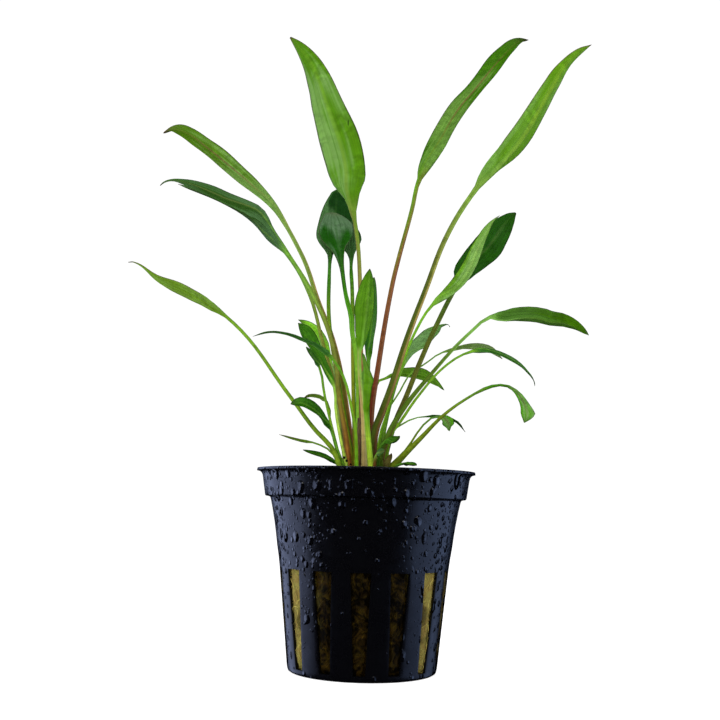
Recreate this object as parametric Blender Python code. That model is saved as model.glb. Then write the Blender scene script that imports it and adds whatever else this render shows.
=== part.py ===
"""Potted cryptocoryne: a slotted plant pot, its plug of rock wool, the short crown and every leaf."""

import math
from collections import namedtuple

import bmesh
import bpy
from mathutils import Matrix, Vector, geometry

MM = 0.001

# Pot, in millimetres, with its base plate on Z = 0 and its axis on Z
WALL = 0.9
LIP_RADIUS = 27.5
LIP_UNDER = 48.0
COLLAR_TOP_RADIUS = 26.3
COLLAR_FOOT_RADIUS = 25.3
COLLAR_FOOT = 42.4
NECK_RADIUS = 24.0
NECK = 41.8
BASE_RADIUS = 17.3
BASE_EDGE_RADIUS = 18.2
BASE_EDGE = 0.4
SLOT_COUNT = 14
SLOT_FOOT = 1.5
SLOT_TOP = 24.8
SLOT_FOOT_RADIUS = 18.45
SLOT_TOP_RADIUS = 21.0
SLOT_FOOT_ANGLE = math.radians(4.4)
SLOT_TOP_ANGLE = math.radians(6.7)
FRONT_SLOT = math.radians(-92.4)
FLARE = ((21.8, 30.0), (22.7, 36.0))
BASE_DISC_RADIUS = 6.0
DRAIN_START = 7.5
DRAIN_END = 15.0

# Rock wool and crown, in millimetres
WOOL_GAP = 0.35
WOOL_TOP = 44.0
WOOL_SHOULDER = 1.5
WOOL_SIDES = 42
CROWN_BOTTOM = 44.4
CROWN_TOP = 46.7
CROWN_REACH = (9.6, 10.2)
CROWN_CENTRE = (0.8, 0.4)
CROWN_EDGE = 0.8
CROWN_SIDES = 24

# Leaves, in millimetres
STALK_STEP = 11.0
BLADE_STEP = 4.2
BLADE_HALF_THICKNESS = 0.26
EDGE_HALF_THICKNESS = 0.2
TIP_SHARE = 0.965
STALK_HALF_THICKNESS = 0.42  # in the middle, as a share of the stalk's width
STALK_EDGE = 0.2  # at its sides, as a share of the width
BLADE_SPREAD = 0.25  # share of the blade over which the stalk flattens out into it
HANDLE = 0.39  # how far a smooth curve runs straight at a route point, as a share of the gap
CURVE_STEPS = 12

LIGHT = (0.13, 0.33, 0.04)
MID = (0.08, 0.24, 0.03)
DARK = (0.03, 0.13, 0.03)

# A leaf's route runs from the crown to its tip; its blade starts at route point "foot".
# stalk holds the stalk's width at the crown and at the foot, and width the blade's.
# fullness shapes the blade's outline towards the foot and towards the tip.
# turn rolls the blade about its midrib, at the foot and at the tip, and fold lifts its halves.
Leaf = namedtuple("Leaf", "name colour stalk foot width fullness turn fold route")

LEAVES = (
    Leaf("leaf_top", LIGHT, stalk=(1.5, 1.1), foot=4, width=10.2, fullness=(0.45, 0.85),
         turn=(-55, -55), fold=14, route=(
             (-1, -0.5, 47), (-2, -2, 79.5), (-2.5, -3.5, 97.5), (-3.5, -4, 108), (-5, -5, 115),
             (-6.5, -5.5, 121), (-7.5, -6, 128.5), (-12.5, -8, 143), (-15, -8.5, 150),
             (-17.5, -9, 154.5), (-22.5, -10, 160))),
    Leaf("leaf_top_right_rear", MID, stalk=(1.4, 1.2), foot=6, width=7.5, fullness=(0.4, 0.35),
         turn=(-39, -39), fold=16, route=(
             (1.5, 5, 47), (1, 6, 63), (2.5, 7, 76), (6, 9, 99.5), (7.5, 10, 106.5), (11, 11.5, 121),
             (13, 13, 130.5), (16.5, 14, 138), (23.5, 16, 152), (28.5, 17.5, 159), (38.5, 20, 172.5),
             (41.5, 20.5, 175.5), (45, 21, 176.5))),
    Leaf("leaf_top_right_front", LIGHT, stalk=(2.3, 1.5), foot=7, width=7.5, fullness=(0.5, 0.8),
         turn=(24, 24), fold=14, route=(
             (2, -1, 47), (2.5, -1.5, 58.5), (4, -2, 63), (6, -2.5, 69), (10, -4, 82.5),
             (14, -5.5, 94), (19.5, -8, 109), (26.5, -10.5, 120.5), (29.5, -11.5, 124.5),
             (35, -13, 130), (44, -16.5, 145), (47, -18, 150), (50, -19, 153), (53.5, -20, 155))),
    Leaf("leaf_upper_left_rear", MID, stalk=(1.5, 1.0), foot=6, width=7, fullness=(0.6, 0.6),
         turn=(39, 39), fold=18, route=(
             (-2.5, 6.5, 47), (-4.5, 9, 63), (-9.5, 13, 83.5), (-14.5, 16, 96.5), (-18, 18.5, 106.5),
             (-21, 20, 112), (-27, 23, 125), (-37, 26, 133.5), (-50, 30, 145), (-56, 32, 149.5),
             (-60, 33, 150.5), (-63.5, 34, 150))),
    Leaf("leaf_upper_left_front", DARK, stalk=(1.3, 1.0), foot=5, width=7.5, fullness=(0.6, 0.8),
         turn=(46, 23), fold=24, route=(
             (-3.5, -1, 47), (-5, -1.5, 57.5), (-7, -2.5, 67), (-9, -4, 79.5), (-14, -6, 91.5),
             (-21.5, -8, 103), (-25, -9, 106.5), (-31.5, -11, 113), (-36.5, -12, 115),
             (-45.5, -14, 118.5), (-49.5, -15, 119), (-53, -16, 117))),
    Leaf("leaf_upper_left_inner", DARK, stalk=(1.3, 1.0), foot=4, width=7, fullness=(0.6, 0.7),
         turn=(43, 33), fold=18, route=(
             (-4, 2.5, 47), (-7, 2, 64.5), (-12, 1.5, 81.5), (-16, 0.5, 94.5), (-22.5, -0.5, 105),
             (-27, -0.5, 109), (-31.5, -1, 113.5), (-37.5, -2, 117), (-51, -3, 122))),
    Leaf("leaf_left_long", MID, stalk=(1.8, 1.1), foot=4, width=6.5, fullness=(0.6, 1.2),
         turn=(-17, -17), fold=16, route=(
             (-6, -6, 47), (-8, -6.5, 53), (-13.5, -6.5, 59), (-19, -7, 66), (-36, -9, 86),
             (-46, -10, 91), (-52.5, -11, 94), (-59, -12, 98.5), (-60.5, -12, 98.5))),
    Leaf("leaf_left_arching", DARK, stalk=(1.0, 0.8), foot=2, width=4, fullness=(0.6, 0.8),
         turn=(0, 0), fold=12, route=(
             (-2, -6, 47), (-3.5, -11.5, 61.5), (-9, -16.5, 75), (-18, -20.5, 79.5),
             (-20.5, -21.5, 80), (-23.5, -22.5, 80), (-27.5, -24, 78.5))),
    Leaf("leaf_left_dark", DARK, stalk=(1.0, 0.8), foot=3, width=6, fullness=(0.7, 0.7),
         turn=(72, 84), fold=18, route=(
             (-3.5, -3, 47), (-7, -5.5, 58.5), (-8, -6.5, 63.5), (-8.5, -8.5, 69), (-10, -9.5, 71.5),
             (-13, -12, 77), (-17.5, -16, 83.5))),
    Leaf("leaf_left_pale", LIGHT, stalk=(1.0, 0.8), foot=3, width=5.5, fullness=(0.6, 0.7),
         turn=(-34, -34), fold=14, route=(
             (-5, 4.5, 47), (-7, 4.5, 60.5), (-8.5, 5, 70), (-9.5, 5, 76), (-14.5, 5.5, 85.5),
             (-16.5, 6, 87.5), (-19, 6, 88.5))),
    Leaf("leaf_left_small", DARK, stalk=(1.0, 0.8), foot=2, width=3.5, fullness=(0.6, 0.7),
         turn=(37, 37), fold=14, route=(
             (-5.5, -0.5, 47), (-11, -3, 67.5), (-12.5, -4, 74.5), (-16, -5, 79.5))),
    Leaf("leaf_left_hooked", DARK, stalk=(1.0, 0.9), foot=2, width=5.5, fullness=(0.6, 0.7),
         turn=(56, 56), fold=20, route=(
             (-4.5, -4, 47), (-8, -7, 55.5), (-9, -8.5, 58.5), (-15.5, -15.5, 64),
             (-18.5, -18, 63.5))),
    Leaf("leaf_left_thin", MID, stalk=(0.8, 0.6), foot=2, width=3.5, fullness=(0.6, 0.7),
         turn=(-6, -6), fold=12, route=(
             (-5.5, 1, 47), (-9.5, 2, 60.5), (-10.5, 3, 66.5), (-14.5, 3.5, 68), (-16.5, 4, 67.5))),
    Leaf("leaf_left_low", MID, stalk=(0.8, 0.6), foot=2, width=3.5, fullness=(0.6, 0.7),
         turn=(-10, -10), fold=12, route=(
             (-6, 2.5, 47), (-9, 3.5, 53.5), (-14, 4.5, 56), (-17, 5.5, 56.5), (-23, 7, 58))),
    Leaf("leaf_left_rim", DARK, stalk=(1.0, 1.0), foot=1, width=4.5, fullness=(0.6, 0.7),
         turn=(27, 27), fold=14, route=(
             (-4.5, -2, 47), (-7.5, -2.5, 50.5), (-16, -5, 53.5))),
    Leaf("leaf_front", LIGHT, stalk=(1.8, 1.0), foot=1, width=6.5, fullness=(0.7, 0.7),
         turn=(-34, -34), fold=14, route=(
             (-0.5, -3.5, 47), (-2.5, -14, 77), (-1.5, -19.5, 85), (-0.5, -28, 94.5))),
    Leaf("leaf_front_inner", DARK, stalk=(1.3, 1.1), foot=1, width=5, fullness=(0.7, 0.7),
         turn=(40, 40), fold=14, route=(
             (0.5, 2.5, 47), (0, 6.5, 78), (0.5, 9, 88), (1, 12, 102))),
    Leaf("leaf_front_short", LIGHT, stalk=(1.8, 1.3), foot=1, width=4.5, fullness=(0.7, 0.7),
         turn=(60, 60), fold=18, route=(
             (1.5, -5, 47), (0, -11.5, 62), (-0.5, -15, 69), (-0.5, -16.5, 72), (-1.5, -19, 76))),
    Leaf("leaf_right_pale", LIGHT, stalk=(1.1, 1.0), foot=4, width=6, fullness=(0.5, 0.8),
         turn=(-38, -38), fold=14, route=(
             (2.5, 2.5, 47), (5, 3, 63.5), (7.5, 3, 73), (13, 4, 87.5), (16.5, 4.5, 93),
             (23.5, 5, 99), (30, 5.5, 112), (32.5, 6, 116.5), (34.5, 6, 118.5))),
    Leaf("leaf_right_dark", DARK, stalk=(1.5, 1.3), foot=5, width=8.8, fullness=(0.75, 0.7),
         turn=(-55, -55), fold=12, route=(
             (3.5, 4, 47), (7, 5.5, 61), (10, 7.5, 68.5), (14, 10, 79), (18, 12.5, 88.5),
             (24, 16.5, 101), (28.5, 19, 108.5), (33.5, 21.5, 114), (39.5, 25, 123), (42, 26, 125.5))),
    Leaf("leaf_right_long", MID, stalk=(2.3, 1.0), foot=6, width=7.5, fullness=(0.4, 0.35),
         turn=(21, 21), fold=14, route=(
             (4.5, -2, 47), (3.5, -2.5, 51), (5, -3, 57), (8, -3.5, 63), (15.5, -5, 73),
             (25.5, -7.5, 84), (30, -8.5, 87.5), (33.5, -9, 87.5), (41.5, -11, 87.5),
             (44.5, -11.5, 86.5), (48, -12.5, 86), (53.5, -14, 82.5))),
    Leaf("leaf_right_arching", DARK, stalk=(1.1, 1.0), foot=4, width=6, fullness=(0.6, 0.8),
         turn=(-30, -30), fold=20, route=(
             (5, 0.5, 47), (6, 1, 57.5), (9, 1.5, 62), (13, 2.5, 68), (27, 4.5, 81), (36, 6, 79.5),
             (42.5, 7.5, 76), (44, 7.5, 74), (44, 8, 72.5))),
    Leaf("leaf_right_inner", MID, stalk=(0.9, 0.8), foot=5, width=5, fullness=(0.6, 0.8),
         turn=(14, 14), fold=14, route=(
             (4, 6.5, 47), (5, 10, 64), (8.5, 12, 70.5), (12, 14.5, 76.5), (15, 15.5, 78.5),
             (20.5, 17.5, 82.5), (32, 21.5, 84.5), (38, 24, 82))),
    Leaf("leaf_right_drooping", MID, stalk=(2.0, 1.1), foot=5, width=6.5, fullness=(0.9, 0.35),
         turn=(2, 14), fold=20, route=(
             (6, -4.5, 47), (8.5, -5.5, 53), (12.5, -6.5, 56.5), (19, -9, 62.5), (25, -11.5, 67),
             (29.5, -13.5, 69.5), (35.5, -16.5, 68), (36, -17.5, 65.5), (36.5, -18.5, 63.5),
             (37, -20, 60))),
    Leaf("leaf_right_thin", DARK, stalk=(0.8, 0.6), foot=3, width=4, fullness=(0.6, 0.7),
         turn=(-6, -6), fold=12, route=(
             (6, 2, 47), (6.5, 2.5, 59.5), (8, 2.5, 60.5), (13, 3, 63), (22.5, 3.5, 62.5),
             (25.5, 4, 59.5))),
    Leaf("leaf_right_small", DARK, stalk=(1.0, 0.8), foot=4, width=5, fullness=(0.7, 0.8),
         turn=(-26, -26), fold=14, route=(
             (7, -1.5, 47), (7.5, -1.5, 51.5), (10, -2, 54.5), (14, -3, 60.5), (16, -3.5, 62.5),
             (20, -4, 62), (20.5, -4.5, 59))),
    Leaf("leaf_rear_low", DARK, stalk=(0.9, 0.8), foot=3, width=6, fullness=(0.5, 0.5),
         turn=(-40, -40), fold=14, route=(
             (1, 7, 47), (2.5, 18, 69), (3, 21, 74.5), (5, 22.5, 75.5), (7.5, 24, 77),
             (11.5, 26.5, 77.5), (17, 30, 77.5), (22.5, 34, 74))),
    Leaf("leaf_rear_right", DARK, stalk=(1.0, 0.9), foot=2, width=6.5, fullness=(0.6, 0.6),
         turn=(-13, -13), fold=14, route=(
             (2.5, 8, 47), (7, 17.5, 70.5), (10, 22.5, 79.5), (12, 24.5, 83.5), (15, 26.5, 85.5),
             (17.5, 28.5, 88.5), (23, 32, 93))),
    Leaf("leaf_spoon_left", DARK, stalk=(1.0, 1.0), foot=4, width=10.5, fullness=(0.4, 0.5),
         turn=(0, 0), fold=10, route=(
             (-2.5, 4.5, 47), (-10, 10, 83.5), (-11, 13, 90.5), (-11.5, 20, 104), (-11.5, 24, 111.5),
             (-11, 30, 119.5), (-10.5, 42, 136.5))),
    Leaf("leaf_spoon_middle", DARK, stalk=(1.0, 1.1), foot=5, width=9.7, fullness=(0.5, 0.45),
         turn=(0, 0), fold=10, route=(
             (-2, 1.5, 47), (-3.5, 6, 80.5), (-4.5, 7.5, 85.5), (-5, 9.5, 90.5), (-6.5, 12, 96.5),
             (-8.5, 18.5, 109.5), (-11, 27, 124.5))),
    Leaf("leaf_spoon_right", DARK, stalk=(0.9, 0.9), foot=4, width=6.8, fullness=(0.5, 0.45),
         turn=(0, 0), fold=10, route=(
             (-1, 4, 47), (-3.5, 10.5, 78.5), (-5, 22.5, 101), (-5.5, 27, 108), (-5.5, 30.5, 113),
             (-6.5, 40, 125.5))),
    Leaf("leaf_young_dark", DARK, stalk=(1.0, 1.0), foot=1, width=4.5, fullness=(0.5, 0.6),
         turn=(-31, -31), fold=16, route=(
             (2.5, -3.5, 47), (4.5, -7, 56), (6.5, -8, 56), (8, -9, 57))),
    Leaf("leaf_young_blue", DARK, stalk=(1.0, 1.0), foot=1, width=3, fullness=(0.5, 0.9),
         turn=(-48, -48), fold=12, route=(
             (2, -7.5, 47), (2.5, -9, 52.5), (4.5, -10, 53.5))),
    Leaf("leaf_young_low", DARK, stalk=(0.8, 0.8), foot=2, width=3, fullness=(0.6, 0.8),
         turn=(-10, -10), fold=12, route=(
             (7.5, -6, 47), (7, -7.5, 49.5), (9, -9, 50.5), (12, -12, 50))),
    Leaf("bract", DARK, stalk=(1.8, 1.5), foot=1, width=3, fullness=(0.5, 0.9),
         turn=(-22, -22), fold=20, route=(
             (4, -6.5, 47), (5, -7.5, 50), (6, -9, 53))),
)

# Brown stub of a leaf that was cut off, from the crown to the cut
STUB = ((-1.9, -2.2, 47.0), (-2.1, -2.5, 55.0), (-2.2, -2.7, 62.0))
STUB_WIDTH = 1.2
STUB_TAPER = 0.12


def clear_scene():
    """Empties the file of the objects it starts with."""
    for item in list(bpy.data.objects):
        bpy.data.objects.remove(item, do_unlink=True)


def make_material(name, colour, roughness):
    """A plain surface with its colour and roughness."""
    material = bpy.data.materials.new(name)
    material.use_nodes = True
    shader = material.node_tree.nodes["Principled BSDF"]
    shader.inputs["Base Color"].default_value = (*colour, 1.0)
    shader.inputs["Roughness"].default_value = roughness
    shader.inputs["Metallic"].default_value = 0.0
    return material


def make_object(name, work, material, sharp_degrees=40.0):
    """Turns a bmesh in millimetres into a named, smooth-shaded object in metres."""
    bmesh.ops.transform(work, matrix=Matrix.Scale(MM, 4), verts=work.verts)
    mesh = bpy.data.meshes.new(name)
    work.to_mesh(mesh)
    work.free()
    mesh.shade_smooth()
    mesh.set_sharp_from_angle(angle=math.radians(sharp_degrees))
    mesh.materials.append(material)
    item = bpy.data.objects.new(name, mesh)
    bpy.context.scene.collection.objects.link(item)
    return item


def ring(work, radius, height, angles):
    """A ring of corners round the pot's axis."""
    return [work.verts.new((radius * math.cos(a), radius * math.sin(a), height)) for a in angles]


def bridge(work, lower, upper, skip=()):
    """Faces between two rings, leaving out the columns named in skip."""
    count = len(lower)
    for column in range(count):
        if column in skip:
            continue
        after = (column + 1) % count
        work.faces.new((lower[column], lower[after], upper[after], upper[column]))


def sector_angles(half_slot):
    """Angles of a slot's two sides and of the rib's middle, for every slot."""
    pitch = 2 * math.pi / SLOT_COUNT
    angles = []
    for number in range(SLOT_COUNT):
        centre = FRONT_SLOT + number * pitch
        angles += [centre - half_slot, centre + half_slot, centre + pitch / 2]
    return angles


def slot_half_angle(height):
    """Half the angle that a slot takes up, narrowing towards the base."""
    share = (height - SLOT_FOOT) / (SLOT_TOP - SLOT_FOOT)
    share = min(max(share, 0.0), 1.0)
    return SLOT_FOOT_ANGLE + share * (SLOT_TOP_ANGLE - SLOT_FOOT_ANGLE)


def make_pot():
    """The pot: slotted wall, base plate with drain slots, stepped collar and flat lip."""
    slot_middle = (SLOT_FOOT + SLOT_TOP) / 2
    slot_middle_radius = (SLOT_FOOT_RADIUS + SLOT_TOP_RADIUS) / 2
    rows = [(BASE_DISC_RADIUS, 0.0), (DRAIN_START, 0.0), (DRAIN_END, 0.0), (BASE_RADIUS, 0.0),
            (BASE_EDGE_RADIUS, BASE_EDGE), (SLOT_FOOT_RADIUS, SLOT_FOOT),
            (slot_middle_radius, slot_middle), (SLOT_TOP_RADIUS, SLOT_TOP), *FLARE,
            (NECK_RADIUS, NECK), (COLLAR_FOOT_RADIUS, COLLAR_FOOT),
            (COLLAR_TOP_RADIUS, LIP_UNDER), (LIP_RADIUS, LIP_UNDER)]
    slots = set(range(0, 3 * SLOT_COUNT, 3))
    drains = set(range(0, 3 * SLOT_COUNT, 6))

    work = bmesh.new()
    rings = [ring(work, radius, height, sector_angles(slot_half_angle(height))) for radius, height in rows]
    work.faces.new(list(reversed(rings[0])))
    for lower, upper, (radius, height), (above_radius, above) in zip(rings, rings[1:], rows, rows[1:]):
        in_wall = height >= SLOT_FOOT and above <= SLOT_TOP
        in_drain = radius == DRAIN_START and above_radius == DRAIN_END
        bridge(work, lower, upper, slots if in_wall else drains if in_drain else ())
    pot = make_object("pot", work, make_material("black plastic", (0.012, 0.013, 0.018), 0.35), 30.0)

    wall = pot.modifiers.new("wall", "SOLIDIFY")
    wall.thickness = WALL * MM
    wall.offset = -1.0
    wall.use_even_offset = True
    return pot


def make_wool():
    """The plug of rock wool, a little clear of the pot's wall all round."""
    inset = WALL + WOOL_GAP
    shoulder = NECK_RADIUS - inset - 0.5
    rows = [(BASE_RADIUS - inset, inset), (SLOT_FOOT_RADIUS - inset, inset + SLOT_FOOT),
            (SLOT_TOP_RADIUS - inset, SLOT_TOP), *[(r - inset, z) for r, z in FLARE],
            (shoulder, WOOL_TOP - WOOL_SHOULDER), (shoulder - WOOL_SHOULDER, WOOL_TOP)]
    angles = [FRONT_SLOT + 2 * math.pi * number / WOOL_SIDES for number in range(WOOL_SIDES)]
    work = bmesh.new()
    rings = [ring(work, radius, height, angles) for radius, height in rows]
    work.faces.new(list(reversed(rings[0])))
    for lower, upper in zip(rings, rings[1:]):
        bridge(work, lower, upper)
    work.faces.new(rings[-1])
    return make_object("rock_wool", work, make_material("rock wool", (0.22, 0.17, 0.06), 0.95))


def make_crown():
    """The short stem that the leaves grow from: a low oval cushion on the wool."""
    work = bmesh.new()
    shapes = ((1.0, CROWN_BOTTOM), (1.0, CROWN_BOTTOM + CROWN_EDGE),
              (0.93, CROWN_TOP - CROWN_EDGE / 4), (0.86, CROWN_TOP))
    angles = [2 * math.pi * number / CROWN_SIDES for number in range(CROWN_SIDES)]
    rings = []
    for share, height in shapes:
        rings.append([work.verts.new((CROWN_CENTRE[0] + CROWN_REACH[0] * share * math.cos(a),
                                      CROWN_CENTRE[1] + CROWN_REACH[1] * share * math.sin(a), height))
                      for a in angles])
    work.faces.new(list(reversed(rings[0])))
    for lower, upper in zip(rings, rings[1:]):
        bridge(work, lower, upper)
    work.faces.new(rings[-1])
    return make_object("crown", work, make_material("crown", (0.10, 0.08, 0.03), 0.8))


def directions(points):
    """The direction of the smooth curve at each of its points."""
    result = []
    for number, point in enumerate(points):
        before = points[number - 1] if number else 2 * point - points[1]
        after = points[number + 1] if number + 1 < len(points) else 2 * point - points[-2]
        result.append(((point - before).normalized() + (after - point).normalized()).normalized())
    return result


def smooth_route(route):
    """A smooth curve through the route's points, as a fine line, and the length at each point."""
    points = [Vector(point) for point in route]
    heads = directions(points)
    line = [points[0]]
    marks = [0.0]
    for start, end, out, into in zip(points, points[1:], heads, heads[1:]):
        reach = (end - start).length * HANDLE
        piece = geometry.interpolate_bezier(start, start + out * reach, end - into * reach, end,
                                            CURVE_STEPS + 1)
        length = marks[-1]
        for a, b in zip(piece, piece[1:]):
            length += (b - a).length
            line.append(b)
        marks.append(length)
    return line, marks


def along(line, length):
    """The point and the direction at a length along a line."""
    for a, b in zip(line, line[1:]):
        step = (b - a).length
        if length <= step:
            return a.lerp(b, length / step), (b - a).normalized()
        length -= step
    return line[-1], (line[-1] - line[-2]).normalized()


def blade_side(direction, turn):
    """The direction across a blade: level, then rolled about the midrib by turn degrees."""
    level = direction.cross(Vector((0, 0, 1))).normalized()
    up = level.cross(direction)
    angle = math.radians(turn)
    return level * math.cos(angle) + up * math.sin(angle)


def carry(side, direction):
    """A side direction taken along to a new direction, with no twist of its own."""
    return (side - direction * side.dot(direction)).normalized()


def section(work, point, side, direction, width, fold, middle, edge):
    """Six corners across a leaf: two at each margin and one above and below the midrib."""
    up = side.cross(direction)
    half = width / 2
    lift = half * math.tan(math.radians(fold)) / 2
    corners = ((-half, lift + edge), (0, middle - lift), (half, lift + edge),
               (half, lift - edge), (0, -middle - lift), (-half, lift - edge))
    return [work.verts.new(point + side * across + up * height) for across, height in corners]


def blade_width(leaf, share):
    """A blade's width at a share of its length: round at the foot, drawn out to the tip."""
    foot, tip = leaf.fullness
    widest = foot / (foot + tip)
    outline = (share / widest) ** foot * ((1 - share) / (1 - widest)) ** tip
    stalk = leaf.stalk[1] * (1 - share)
    return math.hypot(leaf.width * outline, stalk)


def make_leaf(leaf):
    """A whole leaf in one solid: its stalk, cut level where it stands on the crown, and its blade."""
    line, marks = smooth_route(leaf.route)
    foot = marks[leaf.foot]
    reach = marks[-1] - foot
    blade_steps = max(4, round(reach / BLADE_STEP))
    stalk_steps = max(2, round(foot / STALK_STEP))
    blade = []
    for number in range(blade_steps):
        share = number / (blade_steps - 1) * TIP_SHARE
        point, direction = along(line, foot + share * reach)
        turn = leaf.turn[0] + (leaf.turn[1] - leaf.turn[0]) * share
        blade.append((point, direction, blade_side(direction, turn), share))
    stalk = []
    side = blade[0][2]
    for number in range(stalk_steps - 1, -1, -1):
        share = number / stalk_steps
        point, direction = along(line, share * foot)
        if number == 0:
            direction = Vector((0, 0, 1))
        side = carry(side, direction)
        stalk.append((point, direction, side, share))

    work = bmesh.new()
    rings = []
    for point, direction, side, share in reversed(stalk):
        width = leaf.stalk[0] + (leaf.stalk[1] - leaf.stalk[0]) * share
        rings.append(section(work, point, side, direction, width, 0.0,
                             width * STALK_HALF_THICKNESS, width * STALK_EDGE))
    for point, direction, side, share in blade:
        width = blade_width(leaf, share)
        thin = min(share / BLADE_SPREAD, 1.0)
        middle = leaf.stalk[1] * STALK_HALF_THICKNESS * (1 - thin) + BLADE_HALF_THICKNESS * thin
        edge = leaf.stalk[1] * STALK_EDGE * (1 - thin) + EDGE_HALF_THICKNESS * thin
        rings.append(section(work, point, side, direction, width, leaf.fold * thin, middle, edge))
    work.faces.new(list(reversed(rings[0])))
    for lower, upper in zip(rings, rings[1:]):
        bridge(work, lower, upper)
    tip = work.verts.new(line[-1])
    for a, b in zip(rings[-1], rings[-1][1:] + rings[-1][:1]):
        work.faces.new((a, b, tip))
    return make_object(leaf.name, work, make_material(leaf.name, leaf.colour, 0.4))


def make_stub():
    """The short brown end of a leaf that was cut off."""
    work = bmesh.new()
    rings = []
    for number, point in enumerate(STUB):
        width = STUB_WIDTH - STUB_TAPER * number
        rings.append(section(work, Vector(point), Vector((1, 0, 0)), Vector((0, 0, 1)), width, 0.0,
                             width * STALK_HALF_THICKNESS, width * STALK_EDGE))
    work.faces.new(list(reversed(rings[0])))
    for lower, upper in zip(rings, rings[1:]):
        bridge(work, lower, upper)
    work.faces.new(rings[-1])
    return make_object("cut_stub", work, make_material("cut stub", (0.16, 0.07, 0.03), 0.7))


def main():
    clear_scene()
    make_pot()
    make_wool()
    make_crown()
    for leaf in LEAVES:
        make_leaf(leaf)
    make_stub()


main()
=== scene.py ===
"""Potted cryptocoryne: the finished look of a young aquarium plant in its slotted black pot."""

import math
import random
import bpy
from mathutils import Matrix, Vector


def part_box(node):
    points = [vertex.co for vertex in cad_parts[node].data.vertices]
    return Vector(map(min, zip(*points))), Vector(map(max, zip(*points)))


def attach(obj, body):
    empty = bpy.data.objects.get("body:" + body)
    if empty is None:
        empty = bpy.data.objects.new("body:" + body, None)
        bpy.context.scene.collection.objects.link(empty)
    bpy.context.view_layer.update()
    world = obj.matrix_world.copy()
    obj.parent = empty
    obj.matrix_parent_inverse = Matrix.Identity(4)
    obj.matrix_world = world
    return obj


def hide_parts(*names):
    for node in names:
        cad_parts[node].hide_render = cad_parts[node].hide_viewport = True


bl_info = {
    "name": "Potted Cryptocoryne",
    "version": (1, 0, 0),
    "blender": (4, 5, 0),
    "location": "3D View > Sidebar > Cryptocoryne",
    "description": "Makes a young cryptocoryne in its slotted pot of rock wool",
    "category": "Add Mesh",
}

from collections import namedtuple

import bpy
from bpy.props import FloatProperty, FloatVectorProperty, IntProperty, PointerProperty
from mathutils import Matrix, Vector, geometry, noise

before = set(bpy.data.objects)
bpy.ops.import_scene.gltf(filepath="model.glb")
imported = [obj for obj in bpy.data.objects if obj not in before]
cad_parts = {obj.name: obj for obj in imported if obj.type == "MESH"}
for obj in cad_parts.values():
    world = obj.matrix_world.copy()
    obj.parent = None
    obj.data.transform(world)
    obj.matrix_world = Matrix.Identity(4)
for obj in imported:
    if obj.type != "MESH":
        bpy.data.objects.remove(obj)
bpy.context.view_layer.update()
POT_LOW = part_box("pot")[0]
WOOL_LOW, WOOL_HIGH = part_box("rock_wool")
CROWN_LOW, CROWN_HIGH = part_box("crown")

MM = 0.001
WHITE = (1.0, 1.0, 1.0)

# Pot, in millimetres. The rings of its outer side are radius and height, from the base's middle
# outwards and up.
SLOT_COUNT = 14
SECTOR_COLUMNS = 12  # columns of faces to each slot and its rib
SLOT_COLUMNS = 3  # columns on each side of a slot's middle that the slot takes out
FRONT_SLOT = math.radians(-92.4)
SLOT_FOOT, SLOT_TOP = 1.5, 24.8
SLOT_FOOT_ANGLE, SLOT_TOP_ANGLE = math.radians(4.4), math.radians(6.7)
DRAIN_START, DRAIN_END = 7.5, 15.0
BASE_RINGS = ((6.0, 0.0), (DRAIN_START, 0.0), (DRAIN_END, 0.0), (17.3, 0.0), (17.8, 0.08),
              (18.15, 0.3), (18.3, 0.7), (18.45, SLOT_FOOT))
SLOT_RINGS = 8
SHOULDER_RINGS = ((21.0, SLOT_TOP), (21.35, 27.4), (21.8, 30.0), (22.22, 33.0), (22.7, 36.0),
                  (23.27, 39.0), (23.85, 41.5), (24.0, 41.8), (24.35, 41.95), (24.85, 42.0),
                  (25.15, 42.1), (25.3, 42.4), (25.36, 42.9), (25.7, 45.0), (25.95, 46.6),
                  (26.1, 47.3), (26.35, 47.8), (26.8, 48.15), (27.5, 48.3))
SHARP_ANGLE = 50  # degrees between two faces from which their edge counts as sharp
MERGE_GAP = 0.001

# Beads on the plastic: spacing in millimetres, radius as a share of it, how much taller than wide they
# are, and the share of places that has one
BEADS = ((4.4, 0.46, 1.5, 0.45), (2.8, 0.48, 1.2, 0.85), (1.5, 0.48, 1.1, 0.95), (0.8, 0.44, 1.0, 0.6))
BEAD_HEIGHT = 0.8  # as a share of the radius
BEAD_WARP = (0.3, 0.3, 0.3)  # how far their outlines are bent, in millimetres
BEADED_RISE = (12.0, 34.0)  # height over which they get denser, in millimetres
BARE_RISE, BARE_WIDTH = (32.0, 41.0), (5.0, 13.0)  # the barer middle of the front: height and width
BEAD_GLOSS, RIM_SHADE = -0.22, -0.8  # how much less rough a bead is, and how much duller its rim

# Plastic between the beads
PLASTIC_ROUGHNESS = (0.24, 0.36)
WORN_RISE, WORN_SHINE = (4.0, 46.0), (0.3, 0.62)  # height over which it gets shinier, and its shine

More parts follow.
